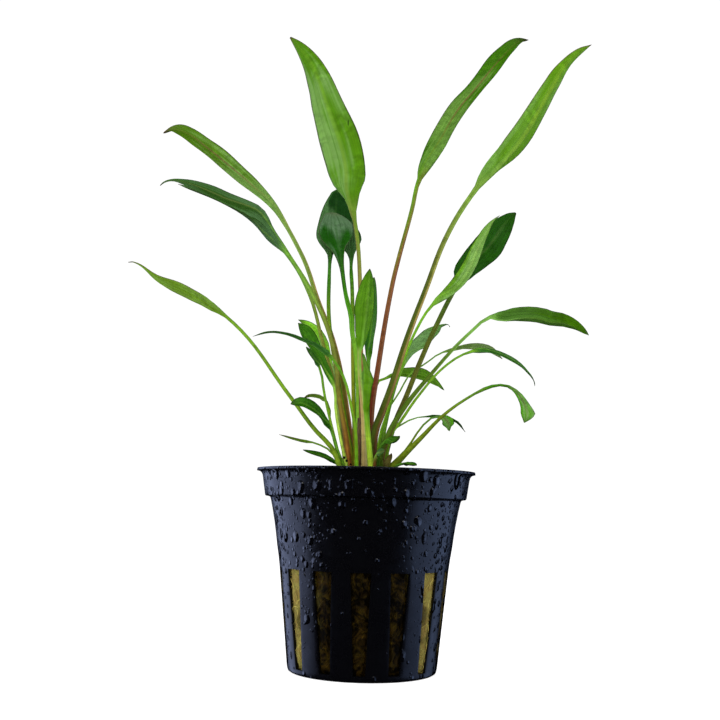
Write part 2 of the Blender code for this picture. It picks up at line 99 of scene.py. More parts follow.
# Rock wool, in millimetres
WOOL_ROWS, WOOL_COLUMNS, WOOL_CAP_RINGS = 44, 14 * SLOT_COUNT, 10
WOOL_CAP_STEP = 1.55  # width of a ring of faces on the plug's top and foot
WOOL_FOOT, WOOL_FOOT_ROUNDING = 5.0, 0.5  # height over which its foot is rounded, and how far
BULGE_RISE = 1.5  # height over which the wool swells out from the end of a slot
BULGE_FULLNESS = 3.0  # how fast it swells out from the sides of a slot
WOOL_LUMPS = ((0.28, 1.0), (0.9, 0.5), (2.6, 0.3))  # scale and strength of its swells and pits
WOOL_SWIRL = (9.0, 9.0, 9.0)  # how far its pattern is stirred
DARK_FRONT = (15.5, 9.0), (0.0, -9.0)  # darker in the middle of the front: from the sides inwards, and from the middle to the front
SIDE_SHADE = (-9.5, -7.0), (1.0, 5.0)  # painted shade over the side slots: from the front backwards, and where it ends at the back
CLUMP_COLOUR = (0.30, 0.19, 0.05)
WET_AND_SHADE_TINTS = (0.007, 0.005, 0.001), (0.10, 0.072, 0.012)  # what the wool's colour is tinted with where it is wet, in the middle of the front, and in the painted shade at its sides

# Loose fibres, in millimetres. Two numbers are the least and the most.
FIBRE_SEED = 5  # of the chance draws
FIBRE_STEPS, FIBRE_SIDES = 5, 3
FIBRE_START = (-0.05, 0.12)  # how far over the surface a fibre starts
FIBRE_LENGTHS = (0.4, 1.3)  # as a share of the usual length
FIBRE_THICKNESS = (0.03, 0.09)
FIBRE_TAPER = 0.6
FIBRE_BEND = (-0.5, 0.5)  # turn at each step, in radians
FIBRE_RISE = (-0.02, 0.05)
# How bright a loose fibre is drawn: partly its own paler tone, partly a painted glint.
FIBRE_BRIGHTNESS = (0.3, 1.0)
FIBRE_ROOM = 0.03  # how far past the wool's form a fibre may come

# Crown and cut stub
CROWN_SEGMENTS, CROWN_RINGS = 72, 36
CROWN_FLATNESS = 0.6
CROWN_LUMPS = ((6.0, 0.5), (15.0, 0.25))
CROWN_ROUGHNESS = 0.04
CROWN_COLOURS = (0.035, 0.022, 0.008), (0.12, 0.11, 0.03)  # of its hollows, brown with painted shade, and of its ridges, olive
STUB_CORNERS, STUB_WIDTH = 20, 0.8  # the width as a share of its solid's
STUB_COLOURS = (0.04, 0.022, 0.006), (0.15, 0.085, 0.02)  # between its fibres and on them

# Stage
LIGHT_TARGET = 0.09  # height that the lights face, in metres
COOL_LIGHT, COOLER_LIGHT = (0.52, 0.62, 1.0), (0.42, 0.57, 1.0)
ROOM_LIGHT, ROOM_STRENGTH = (0.42, 0.42, 0.44), 1.05
FLOOR_CORNERS, FLOOR_GAP = 96, 0.05

# Leaves, in millimetres
LEAF_CORNERS = 28
STALK_ROW, LEAST_STALK_ROWS = 2.6, 6  # length of a row of faces, and the fewest rows
BLADE_ROW, LEAST_BLADE_ROWS = 1.2, 10
BLADE_END = 0.9985  # share of the blade at its last row
LEAST_HALF = 0.02
BLADE_HALF_THICKNESS = 0.15
STALK_HALF_THICKNESS = 0.42  # as a share of the stalk's width
BLADE_SPREAD = 0.25  # share of the blade over which the stalk flattens out into it
HANDLE = 0.39  # how far a smooth curve runs straight at a route point, as a share of the gap
CURVE_STEPS = 24
FOOT_DEPTH = 0.6  # how far a stalk's foot goes down into the crown
SHEATH_REACH = 4.0  # height over which the stalk's foot narrows from its sheath
SHEATH_SWELL = 0.3  # how much wider the sheath is, as a share of the stalk's width
RIB_HEIGHT, RIB_HALF_WIDTH = 0.35, 0.45
GROOVE_DEPTH, GROOVE_HALF_WIDTH = 0.1, 0.35
STALK_GROOVE_DEPTH, STALK_GROOVE_HALF_WIDTH = 0.32, 0.4  # as shares of the stalk's half width
FOLD_ROUNDING = 0.01  # how softly the two halves meet at the midrib
MARGIN_WAVE, WAVE_LENGTH = 0.12, 17.0
WAVY_HALF = 3.0  # half width from which a margin waves in full
STALK_MARGIN = 4.0  # how far a stalk counts as being from a margin
PHASE_STEP, SEED_STEP = 1.7, 3.7  # what sets one leaf's waves and streaks apart from the next one's
OTHER_PHASE = 2.1  # what sets the waves of a leaf's two margins apart

# Specks of dirt at the foot, and a bruise on the top leaf, in millimetres: place sideways, height,
# half width, half height and strength
SPECKS = ((-5.6, 51.8, 0.4, 0.4, 1.0), (-5.0, 51.1, 0.35, 0.4, 1.0), (-4.0, 50.3, 0.3, 0.25, 1.0),
          (-6.8, 137.9, 0.2, 0.9, 0.7))
SPECK_DEPTH = 2.0  # how far back the specks reach
SPECK_COLOUR = (0.004, 0.004, 0.003)

# A leaf's route runs from the crown to its tip, and its blade starts at route point "foot". stalk holds
# the stalk's width at the crown and at the foot. turn rolls the blade about its midrib, twist adds to
# that towards the tip, and fold lifts its halves. outline is the blade's shape: share of its length, then
# how far each half reaches. A small leaf has a width instead, and the fullness of its outline towards
# the foot and towards the tip.
Leaf = namedtuple("Leaf", "name slot look stalk foot turn fold route outline width fullness twist",
                  defaults=[(), 0, (), 0])

LEAVES = (
    Leaf("leaf_top", "leaf_light", "top", stalk=(1.5, 1.05), foot=4, turn=-55, fold=14,
         route=((-1, -0.5, 47), (-2.1, -2, 79.5), (-2.8, -3.5, 97.5), (-3.7, -4, 108), (-5, -5, 115),
         (-6.5, -5.5, 121), (-7.5, -6, 128.5), (-12.5, -8, 143), (-15, -8.5, 150), (-17.5, -9, 154.5),
         (-22.5, -10, 160)),
         outline=((0, 0.9, 0.9), (0.08, 2.8, 1.5), (0.16, 4.7, 3.8), (0.25, 5, 5.1), (0.4, 5.1, 5.4),
         (0.55, 4.3, 4.6), (0.72, 3.2, 3.8), (0.87, 2.1, 2.1), (0.95, 1.2, 0.9), (1, 0.2, 0.2))),
    Leaf("leaf_top_right_rear", "leaf_mid", "red_stalk", stalk=(1.8, 1.2), foot=6, turn=-39, fold=16,
         route=((1.5, 5, 47), (1, 6, 63), (2.5, 7, 76), (6, 9, 99.5), (7.5, 10, 106.5), (11, 11.5, 121),
         (13, 13, 130.5), (16.5, 14, 138), (23.5, 16, 152), (28.5, 17.5, 159), (38.5, 20, 172.5),
         (41.5, 20.5, 175.5), (45, 21, 176.5)),
         outline=((0, 0.6, 0.9), (0.1, 2.7, 2.5), (0.22, 3.4, 3.6), (0.5, 3.1, 3.7), (0.68, 3, 3.8),
         (0.82, 3.7, 3.4), (0.92, 3.1, 3.1), (0.97, 2, 1.6), (1, 0, 0))),
    Leaf("leaf_top_right_front", "leaf_light", "mauve_stalk", stalk=(2.5, 1.35), foot=7, turn=24, fold=14,
         route=((1.5, -1, 47), (1.9, -1.5, 58.5), (3.4, -2, 63), (5.5, -2.5, 69), (9.6, -4, 82.5),
         (13.7, -5.5, 94), (19.3, -8, 109), (26.3, -10.5, 120.5), (29.5, -11.5, 124.5), (35, -13, 130),
         (44, -16.5, 145), (47, -18, 150), (50, -19, 153), (53.5, -20, 155)),
         outline=((0, 0.8, 0.8), (0.08, 1.5, 2.4), (0.17, 2.5, 3.5), (0.28, 3.4, 4.1), (0.4, 3.9, 3.8),
         (0.56, 3.3, 3.3), (0.7, 2.4, 2.6), (0.82, 2, 1.7), (0.93, 1.2, 1), (1, 0, 0))),
    Leaf("leaf_upper_left_rear", "leaf_mid", "olive_stalk", stalk=(2.0, 1.25), foot=6, turn=39, fold=18,
         route=((-3.2, 6.5, 47), (-5.2, 9, 63), (-9.5, 13, 83.5), (-14.5, 16, 96.5), (-18, 18.5, 106.5),
         (-20.8, 20, 112.3), (-24.8, 21.4, 119.5), (-27.1, 22.2, 123.3), (-29.9, 23.1, 126.8),
         (-33.6, 24.2, 130.4), (-36.9, 25.3, 133.6), (-42.7, 27, 138.8), (-49.5, 29.3, 144.7),
         (-55.8, 31.5, 149.6), (-59.9, 32.8, 151.1), (-63.5, 34, 150.2)),
         outline=((0, 0.75, 0.75), (0.07, 1.2, 0.9), (0.15, 2.1, 1.4), (0.22, 3.1, 1.8), (0.29, 3.8, 2.1),
         (0.36, 4.2, 2.5), (0.45, 4.4, 2.9), (0.55, 4.3, 3.1), (0.67, 4.2, 3), (0.77, 4.2, 2.7),
         (0.85, 4.3, 2.6), (0.91, 3.9, 2.5), (0.95, 3.1, 2.2), (0.98, 2, 1.6), (1, 0.4, 0.4))),
    Leaf("leaf_upper_left_front", "leaf_dark", "blue_green", stalk=(1.3, 1.3), foot=5, turn=50, twist=-10,
         fold=10,
         route=((-3.8, -1, 47), (-5.4, -1.5, 57.5), (-7.4, -2.5, 67), (-9.1, -4, 79.5), (-14, -6, 91.5),
         (-21.5, -8, 103), (-23.9, -8.8, 106.1), (-25.4, -9.4, 108.5), (-27, -10, 111.2),
         (-28.5, -10.5, 112.9), (-30.9, -11, 114), (-33.9, -11.6, 114.8), (-36.9, -12.2, 115.6),
         (-40.2, -12.9, 116.8), (-44, -13.8, 118), (-47.3, -14.6, 118.7), (-49.8, -15.1, 118.9),
         (-51.6, -15.5, 118.3), (-52.8, -16, 117.1)),
         outline=((0, 0.7, 0.7), (0.1, 1.4, 1.2), (0.2, 2.6, 1.1), (0.27, 4.4, 1.3), (0.32, 5.3, 1.5),
         (0.39, 5.2, 1.9), (0.48, 4.7, 2.6), (0.57, 4.2, 3), (0.65, 3.9, 2.9), (0.72, 3.5, 2.4),
         (0.79, 2.7, 2), (0.85, 1.7, 1.4), (0.9, 0.9, 0.8), (0.95, 0.5, 0.5), (1, 0.1, 0.1))),
    Leaf("leaf_upper_left_inner", "leaf_dark", "blue_green", stalk=(1.3, 1.0), foot=4, turn=43, twist=-10,
         fold=18,
         route=((-4, 2.5, 47), (-7, 2, 64.5), (-12, 1.5, 81.5), (-16, 0.5, 94.5), (-22.5, -0.5, 105),
         (-27, -0.5, 109), (-31.5, -1, 113.5), (-37.5, -2, 117), (-51, -3, 122)),
         outline=((0, 0.5, 0.5), (0.12, 1, 2), (0.23, 1.2, 2.9), (0.34, 1.2, 3.5), (0.5, 1.2, 3),
         (0.69, 1.2, 2), (0.8, 1, 1.6), (0.89, 0.8, 1.2), (0.95, 0.5, 0.8), (1, 0, 0))),
    Leaf("leaf_left_long", "leaf_mid", "gold_stalk", stalk=(1.5, 1.0), foot=4, turn=-17, fold=16,
         route=((-6, -6, 47), (-8, -6.5, 53), (-13.5, -6.5, 59), (-19, -7, 66), (-36, -9, 86),
         (-46, -10, 91), (-52.5, -11, 94), (-59, -12, 98.5), (-60.5, -12, 98.5)),
         outline=((0, 0.5, 0.5), (0.07, 1.1, 0.8), (0.14, 2.2, 1.5), (0.22, 3.2, 2.3), (0.31, 3.5, 2.7),
         (0.5, 3.5, 2.6), (0.6, 3, 1.8), (0.7, 2, 1), (0.8, 1, 0.6), (0.9, 0.5, 0.4), (1, 0.1, 0.1))),
    Leaf("leaf_left_arching", "leaf_dark", "arching", stalk=(1.0, 0.8), foot=2, width=4,
         fullness=(0.6, 0.8), turn=10, fold=12,
         route=((-2.3, -6, 47), (-3.6, -11.5, 61.5), (-9, -16.5, 75), (-18, -20.5, 79.5),
         (-20.5, -21.5, 80), (-23.5, -22.5, 80), (-27.5, -24, 78.5))),
    Leaf("leaf_left_dark", "leaf_dark", "dark_pale_stalk", stalk=(1.0, 0.8), foot=3, turn=72, twist=12,
         fold=18,
         route=((-4.2, -3, 47), (-7.1, -5.5, 58.5), (-8, -6.5, 63.5), (-8.5, -8.5, 69), (-10, -9.5, 71.5),
         (-13, -12, 77), (-17.5, -16, 83.5)),
         outline=((0, 0.4, 0.4), (0.1, 0.5, 1.3), (0.21, 0.7, 1.8), (0.31, 1, 1.8), (0.5, 1.3, 2),
         (0.59, 1.5, 2.3), (0.67, 1.7, 2.6), (0.74, 1.8, 2.7), (0.81, 1.8, 2.5), (0.86, 1.7, 2.2),
         (0.91, 1.3, 1.6), (0.95, 0.8, 1), (1, 0, 0))),
    Leaf("leaf_left_pale", "leaf_light", "pale_stalk", stalk=(1.0, 0.8), foot=3, turn=-34, fold=14,
         route=((-5, 4.5, 47), (-7, 4.5, 60.5), (-8.5, 5, 70), (-9.5, 5, 76), (-14.5, 5.5, 85.5),
         (-16.5, 6, 87.5), (-19, 6, 88.5)),
         outline=((0, 0.4, 0.4), (0.12, 0.8, 0.7), (0.24, 1.4, 1.3), (0.35, 2.2, 1.8), (0.46, 2.6, 2.2),
         (0.57, 2.8, 2.7), (0.66, 2.4, 3.2), (0.75, 1.7, 3.2), (0.82, 1.1, 2.6), (0.88, 0.7, 1.8),
         (0.94, 0.4, 0.8), (1, 0, 0))),
    Leaf("leaf_left_small", "leaf_dark", "arching", stalk=(1.0, 0.8), foot=2, width=3.5,
         fullness=(0.6, 0.7), turn=37, fold=14,
         route=((-5.5, -0.5, 47), (-11, -3, 67.5), (-12.5, -4, 74.5), (-16, -5, 79.5))),
    Leaf("leaf_left_hooked", "leaf_dark", "dark", stalk=(1.0, 0.9), foot=2, width=4.3, fullness=(0.6, 0.7),
         turn=56, fold=20,
         route=((-4.5, -4, 47), (-8, -7, 55.5), (-9, -8.5, 58.5), (-15.5, -15.5, 64), (-18.5, -18, 63.5))),
    Leaf("leaf_left_thin", "leaf_mid", "gold_stalk", stalk=(0.8, 0.6), foot=2, width=3.5,
         fullness=(0.6, 0.7), turn=-6, fold=12,
         route=((-5.5, 1, 47), (-9.5, 2, 60.5), (-10.5, 3, 66.5), (-14.5, 3.5, 68), (-16.5, 4, 67.5))),
    Leaf("leaf_left_low", "leaf_mid", "gold_stalk", stalk=(0.8, 0.6), foot=2, width=2.1,
         fullness=(0.6, 0.7), turn=-10, fold=12,
         route=((-6, 2.5, 47), (-9, 3.5, 53.5), (-14, 4.5, 56), (-17, 5.5, 56.5), (-23, 7, 58))),
    Leaf("leaf_left_rim", "leaf_dark", "dark", stalk=(1.0, 1.0), foot=1, width=3.1, fullness=(0.6, 0.7),
         turn=27, fold=14,
         route=((-4.5, -2, 47), (-7.5, -2.5, 50.5), (-16, -5, 53.5))),
    Leaf("leaf_front", "leaf_light", "tan_stalk", stalk=(2.4, 1.0), foot=2, turn=-34, fold=14,
         route=((0, -3.5, 47), (-1.1, -8.6, 62), (-2.5, -14, 77), (-1.5, -19.5, 85), (-0.5, -28, 94.5)),
         outline=((0, 0.5, 0.5), (0.1, 1.8, 1), (0.25, 3, 1.9), (0.42, 3.3, 2.6), (0.57, 3.1, 3.2),
         (0.7, 2.5, 3), (0.85, 1.6, 2), (0.95, 0.7, 0.9), (1, 0, 0))),
    Leaf("leaf_front_inner", "leaf_dark", "dark", stalk=(1.3, 1.1), foot=1, width=5, fullness=(0.7, 0.7),
         turn=40, fold=14,
         route=((0.5, 2.5, 47), (0, 6.5, 78), (0.5, 9, 88), (1, 12, 102))),
    Leaf("leaf_front_short", "leaf_light", "bright_stalk", stalk=(1.8, 1.5), foot=1, width=5.2,
         fullness=(0.7, 0.38), turn=60, fold=18,
         route=((1.4, -5, 47), (-0.3, -11.5, 62), (-0.8, -15, 69), (-0.75, -16.5, 72), (-1.6, -19, 76))),
    Leaf("leaf_right_pale", "leaf_light", "pale_blade", stalk=(1.0, 0.8), foot=5, turn=-38, fold=14,
         route=((2.5, 2.5, 47), (3.5, 2.8, 58.3), (5, 3, 63.5), (7.5, 3, 73), (13, 4, 87.5),
         (16.5, 4.5, 93), (23.5, 5, 99), (30, 5.5, 112), (32.5, 6, 116.5), (34.5, 6, 118.5)),
         outline=((0, 0.5, 0.5), (0.1, 1.5, 1.7), (0.2, 2.9, 2.4), (0.35, 3.3, 2.8), (0.5, 2.8, 2.6),
         (0.66, 2.4, 2), (0.8, 1.7, 1.1), (0.9, 1, 0.6), (1, 0, 0))),
    Leaf("leaf_right_dark", "leaf_dark", "brown_stalk", stalk=(1.5, 1.3), foot=5, turn=-55, fold=12,
         route=((3.5, 4, 47), (7, 5.5, 61), (10, 7.5, 68.5), (14, 10, 79), (18, 12.5, 88.5),
         (24, 16.5, 101), (28.5, 19, 108.5), (33.5, 21.5, 114), (39.5, 25, 123), (42, 26, 125.5)),
         outline=((0, 0.65, 0.65), (0.06, 1.6, 1.4), (0.12, 2.8, 2.4), (0.18, 3.3, 3), (0.24, 3.4, 3.7),
         (0.3, 3.5, 4.2), (0.41, 4, 4.6), (0.52, 4.4, 4.4), (0.62, 4.2, 3.8), (0.71, 3.9, 3.5),
         (0.79, 3.3, 3.1), (0.85, 2.5, 2.6), (0.91, 1.8, 1.9), (0.95, 1.3, 1.2), (1, 0.2, 0.2))),
    Leaf("leaf_right_long", "leaf_mid", "long_stalk", stalk=(2.3, 0.9), foot=6, turn=21, fold=14,
         route=((4.5, -2, 47), (3.5, -2.5, 51), (5, -3, 57), (8, -3.5, 63), (15.5, -5, 73),
         (25.5, -7.5, 84), (30, -8.5, 87.5), (33.5, -9, 87.5), (41.5, -11, 87.5), (44.5, -11.5, 86.5),
         (48, -12.5, 86), (53.5, -14, 82.5)),
         outline=((0, 0.5, 0.6), (0.08, 1.3, 1.9), (0.2, 2.2, 3.5), (0.32, 3.3, 3.7), (0.45, 3.9, 3.5),
         (0.6, 3.4, 3.6), (0.75, 3, 3), (0.87, 1.6, 2.5), (0.95, 0.7, 1.5), (1, 0, 0))),
    Leaf("leaf_right_arching", "leaf_dark", "arching", stalk=(1.1, 0.7), foot=5, turn=-30, fold=8,
         route=((5, 0.5, 47), (5.9, 1, 57.6), (8.8, 1.5, 62.1), (12.8, 2.5, 68.2), (20.9, 3.6, 77.4),
         (27.1, 4.6, 80.9), (30.3, 5.2, 81.4), (33, 5.7, 81.2), (36.2, 6.3, 80.1), (39.8, 6.9, 78.2),
         (42.2, 7.4, 76.1), (43.8, 7.8, 74.1), (44.2, 8, 72.4)),
         outline=((0, 0.4, 0.6), (0.09, 0.9, 1.5), (0.18, 1.2, 2), (0.27, 1.3, 2.5), (0.36, 1.5, 2.5),
         (0.53, 1.6, 2.7), (0.67, 1.6, 2.6), (0.8, 1.3, 1.7), (0.89, 0.9, 0.9), (0.95, 0.5, 0.5),
         (1, 0.2, 0.2))),
    Leaf("leaf_right_inner", "leaf_mid", "grey_green", stalk=(0.8, 0.55), foot=5, turn=14, fold=14,
         route=((4, 6.5, 47), (5, 10, 64), (8.5, 12, 70.5), (12, 14.5, 76.5), (15, 15.5, 78.5),
         (20.5, 17.5, 82.5), (32, 21.5, 84.5), (38, 24, 82)),
         outline=((0, 0.3, 0.3), (0.15, 0.9, 0.9), (0.3, 1.7, 1.7), (0.5, 2.1, 2.3), (0.7, 1.3, 2.2),
         (0.85, 0.6, 1.4), (1, 0, 0))),
    Leaf("leaf_right_drooping", "leaf_mid", "green_stalk", stalk=(2.8, 0.8), foot=5, turn=-20, twist=32,
         fold=8,
         route=((3.8, -4.5, 47), (9.4, -5.5, 53.1), (12.9, -6.5, 56.7), (18.8, -9.3, 62.8),
         (24.3, -11.2, 66.8), (28.1, -12.6, 68.9), (30.2, -13.3, 69.7), (32, -14, 69.9),
         (33.6, -14.8, 69.5), (34.8, -15.5, 68.6), (35.9, -16.3, 67.4), (36.7, -17.2, 65.8),
         (37.3, -18.1, 64), (37.5, -18.9, 62.4), (37.2, -19.5, 61.2), (36.6, -20, 60.2)),
         outline=((0, 0.55, 0.55), (0.22, 0.8, 0.8), (0.33, 1.1, 1), (0.43, 1.6, 1.5), (0.53, 1.5, 1.7),
         (0.62, 1.5, 1.6), (0.71, 1.8, 1.8), (0.78, 2, 1.8), (0.85, 1.9, 1.6), (0.9, 1.6, 1.3),
         (0.94, 1.2, 0.9), (0.97, 0.7, 0.55), (1, 0.1, 0.1))),
    Leaf("leaf_right_thin", "leaf_dark", "arching", stalk=(0.7, 0.55), foot=3, turn=-6, fold=12,
         route=((6, 2, 47), (6.5, 2.5, 59.5), (8, 2.5, 60.5), (13, 3, 63), (22.5, 3.5, 62.5),
         (25.5, 4, 59.5)),
         outline=((0, 0.2, 0.2), (0.15, 0.3, 0.4), (0.28, 1, 1.6), (0.5, 1.2, 2), (0.7, 1.1, 1.6),
         (0.85, 0.7, 0.9), (1, 0.1, 0.1))),
    Leaf("leaf_right_small", "leaf_dark", "green_stalk", stalk=(0.9, 0.6), foot=4, turn=-26, twist=-59,
         fold=10,
         route=((7, -1.5, 47), (7.5, -1.5, 51.5), (10, -2, 54.5), (14, -3, 60.5), (16, -3.5, 62.3),
         (18.4, -3.8, 62.6), (20, -4.2, 61.6), (20.5, -4.5, 59)),
         outline=((0, 0.3, 0.3), (0.25, 0.5, 0.5), (0.45, 1, 1), (0.6, 1.6, 1.6), (0.72, 1.6, 1.6),
         (0.86, 0.9, 0.9), (1, 0.05, 0.05))),
    Leaf("leaf_rear_low", "leaf_dark", "bright_stalk", stalk=(0.9, 0.8), foot=3, turn=-40, fold=14,
         route=((1, 7, 47), (1.9, 18, 69), (3, 21, 74.5), (5, 22.5, 75.5), (7.5, 24, 77),
         (11.5, 26.5, 77.5), (17, 30, 77.5), (22.5, 34, 74)),
         outline=((0, 0.4, 0.4), (0.17, 0.7, 1.4), (0.26, 1.4, 2.4), (0.34, 2.4, 2.6), (0.42, 2.7, 3.1),
         (0.5, 2.9, 4.1), (0.57, 3.1, 4.9), (0.64, 3.4, 5.6), (0.71, 3.6, 5.8), (0.78, 3.6, 5.4),
         (0.86, 3.1, 3.9), (0.94, 1.9, 2), (1, 0.2, 0.2))),
    Leaf("leaf_rear_right", "leaf_dark", "bluish", stalk=(1.0, 0.9), foot=2, turn=-13, fold=14,
         route=((2.5, 8, 47), (7, 17.5, 70.5), (10, 22.5, 79.5), (12, 24.5, 83.5), (15, 26.5, 85.5),
         (17.5, 28.5, 88.5), (22, 31.6, 92.8), (23.3, 32, 93), (23.7, 32, 92.2)),
         outline=((0, 0.5, 0.5), (0.09, 1, 1), (0.18, 1.9, 1.8), (0.27, 2.6, 2.9), (0.36, 3.6, 3),
         (0.45, 4, 2.5), (0.6, 4, 2.7), (0.67, 3.9, 2.5), (0.74, 3.6, 2), (0.8, 3, 1.3), (0.86, 2.2, 0.8),
         (0.93, 1.1, 0.5), (1, 0.2, 0.2))),
    Leaf("leaf_spoon_left", "leaf_dark", "spoon_rear", stalk=(1.1, 1.1), foot=3, turn=0, fold=10,
         route=((-2.5, 4.5, 47), (-10, 10, 83.5), (-11, 13, 90.5), (-11.5, 20, 104), (-11.5, 24, 111.5),
         (-11, 30, 119.5), (-10.5, 42, 136.5)),
         outline=((0, 0.5, 0.5), (0.1, 0.5, 0.5), (0.19, 0.8, 0.8), (0.24, 1.7, 1.3), (0.29, 3, 2.4),
         (0.38, 4.6, 4.4), (0.47, 5, 5.2), (0.55, 4.8, 5.7), (0.63, 4.5, 5.8), (0.71, 4.1, 5.4),
         (0.77, 3.7, 4.8), (0.83, 3.2, 4), (0.88, 2.7, 3.1), (0.92, 2.2, 2.3), (0.96, 1.7, 1.5),
         (1, 0.3, 0.3))),
    Leaf("leaf_spoon_middle", "leaf_dark", "spoon", stalk=(1.2, 1.35), foot=4, turn=0, fold=10,
         route=((-2, 1.5, 47), (-3.5, 6, 80.5), (-4.5, 7.5, 85.5), (-5, 9.5, 90.5), (-6.5, 12, 96.5),
         (-8.5, 18.5, 109.5), (-11, 27, 124.5)),
         outline=((0, 0.6, 0.6), (0.24, 0.65, 0.6), (0.35, 1, 0.7), (0.46, 1.9, 1.1), (0.52, 2.8, 1.5),
         (0.57, 4.1, 2), (0.62, 5, 3), (0.68, 5.5, 4.3), (0.75, 5.4, 5), (0.82, 4.8, 5.2), (0.88, 4, 4.8),
         (0.93, 3.3, 3.7), (0.97, 2.4, 2.3), (1, 0.4, 0.4))),
    Leaf("leaf_spoon_right", "leaf_dark", "spoon_rear", stalk=(1.1, 1.1), foot=3, turn=0, fold=10,
         route=((-2.6, 4, 47), (-3.9, 9.5, 72), (-5, 22.5, 101), (-5.5, 27, 108), (-5.5, 30.5, 113),
         (-6.5, 40, 125.5)),
         outline=((0, 0.45, 0.45), (0.09, 0.5, 0.5), (0.18, 0.7, 0.6), (0.27, 1.3, 0.8), (0.36, 2.3, 1.4),
         (0.45, 2.8, 2.2), (0.53, 3.1, 2.8), (0.6, 3, 3.2), (0.67, 2.9, 3.2), (0.74, 2.6, 3),
         (0.8, 2.3, 2.7), (0.89, 1.6, 1.8), (0.96, 0.9, 0.9), (1, 0.1, 0.1))),
    Leaf("leaf_young_dark", "leaf_dark", "dark", stalk=(1.0, 1.0), foot=1, width=4.5, fullness=(0.5, 0.6),
         turn=-31, fold=16,
         route=((2.5, -3.5, 47), (4.5, -7, 56), (6.5, -8, 56), (8, -9, 57))),
    Leaf("leaf_young_blue", "leaf_dark", "blue_green", stalk=(1.0, 1.0), foot=1, width=3,
         fullness=(0.5, 0.9), turn=-48, fold=12,
         route=((2, -7.5, 47), (2.5, -9, 52.5), (4.5, -10, 53.5))),
    Leaf("leaf_young_low", "leaf_dark", "dark", stalk=(0.8, 0.8), foot=2, width=3, fullness=(0.6, 0.8),
         turn=-10, fold=12,
         route=((7.5, -6, 47), (7, -7.5, 49.5), (9, -9, 50.5), (12, -12, 50))),
    Leaf("bract", "brown_leaf", "bract", stalk=(1.8, 1.5), foot=1, width=3, fullness=(0.5, 0.9), turn=-22,
         fold=20,
         route=((4, -6.5, 47), (5, -7.5, 50), (6, -9, 53))),
)

# Colours of a leaf. blade is its ground, and the sheen colour is its painted sheen, grey-green stretches of
# painted reflection; the sheen spread says how much of that painted sheen it has at the foot, in the
# middle, at the tip and towards one side, beside what chance brings.
# stalk holds the stalk's colours at the top, in the middle and at the foot, and edge its side's.
# rib_width is how far the midrib's colour spreads, and reach how far the tip's does, in millimetres.
Look = namedtuple("Look", "blade band vein rib margin tip stalk edge wax rib_width reach",
                  defaults=[(0.0, 0.0, 0.0, 0.0), 0.55, 1.0])
LOOK_COLOURS = ("Blade", "Band", "Vein", "Rib", "Margin", "Tip", "Stalk Top", "Stalk Middle",
                "Stalk Foot", "Stalk Edge")
LOOK_VALUES = ("Wax Foot", "Wax Middle", "Wax Tip", "Wax Side", "Rib Width", "Tip Length", "Seed")

VEINS = ((0.28, 1.0), (0.55, 0.8), (0.8, 0.5))  # place of a side vein in its half, and its strength
VEIN_WIDTH = 0.3
GREEN_VEIN = (0.05, 0.17, 0.003)
BROWN_TIP = (0.05, 0.028, 0.01)
GREEN_TIP = (0.05, 0.11, 0.01)
PURPLE_MARGIN = (0.09, 0.05, 0.03)
DARK_MARGIN = (0.025, 0.045, 0.008)

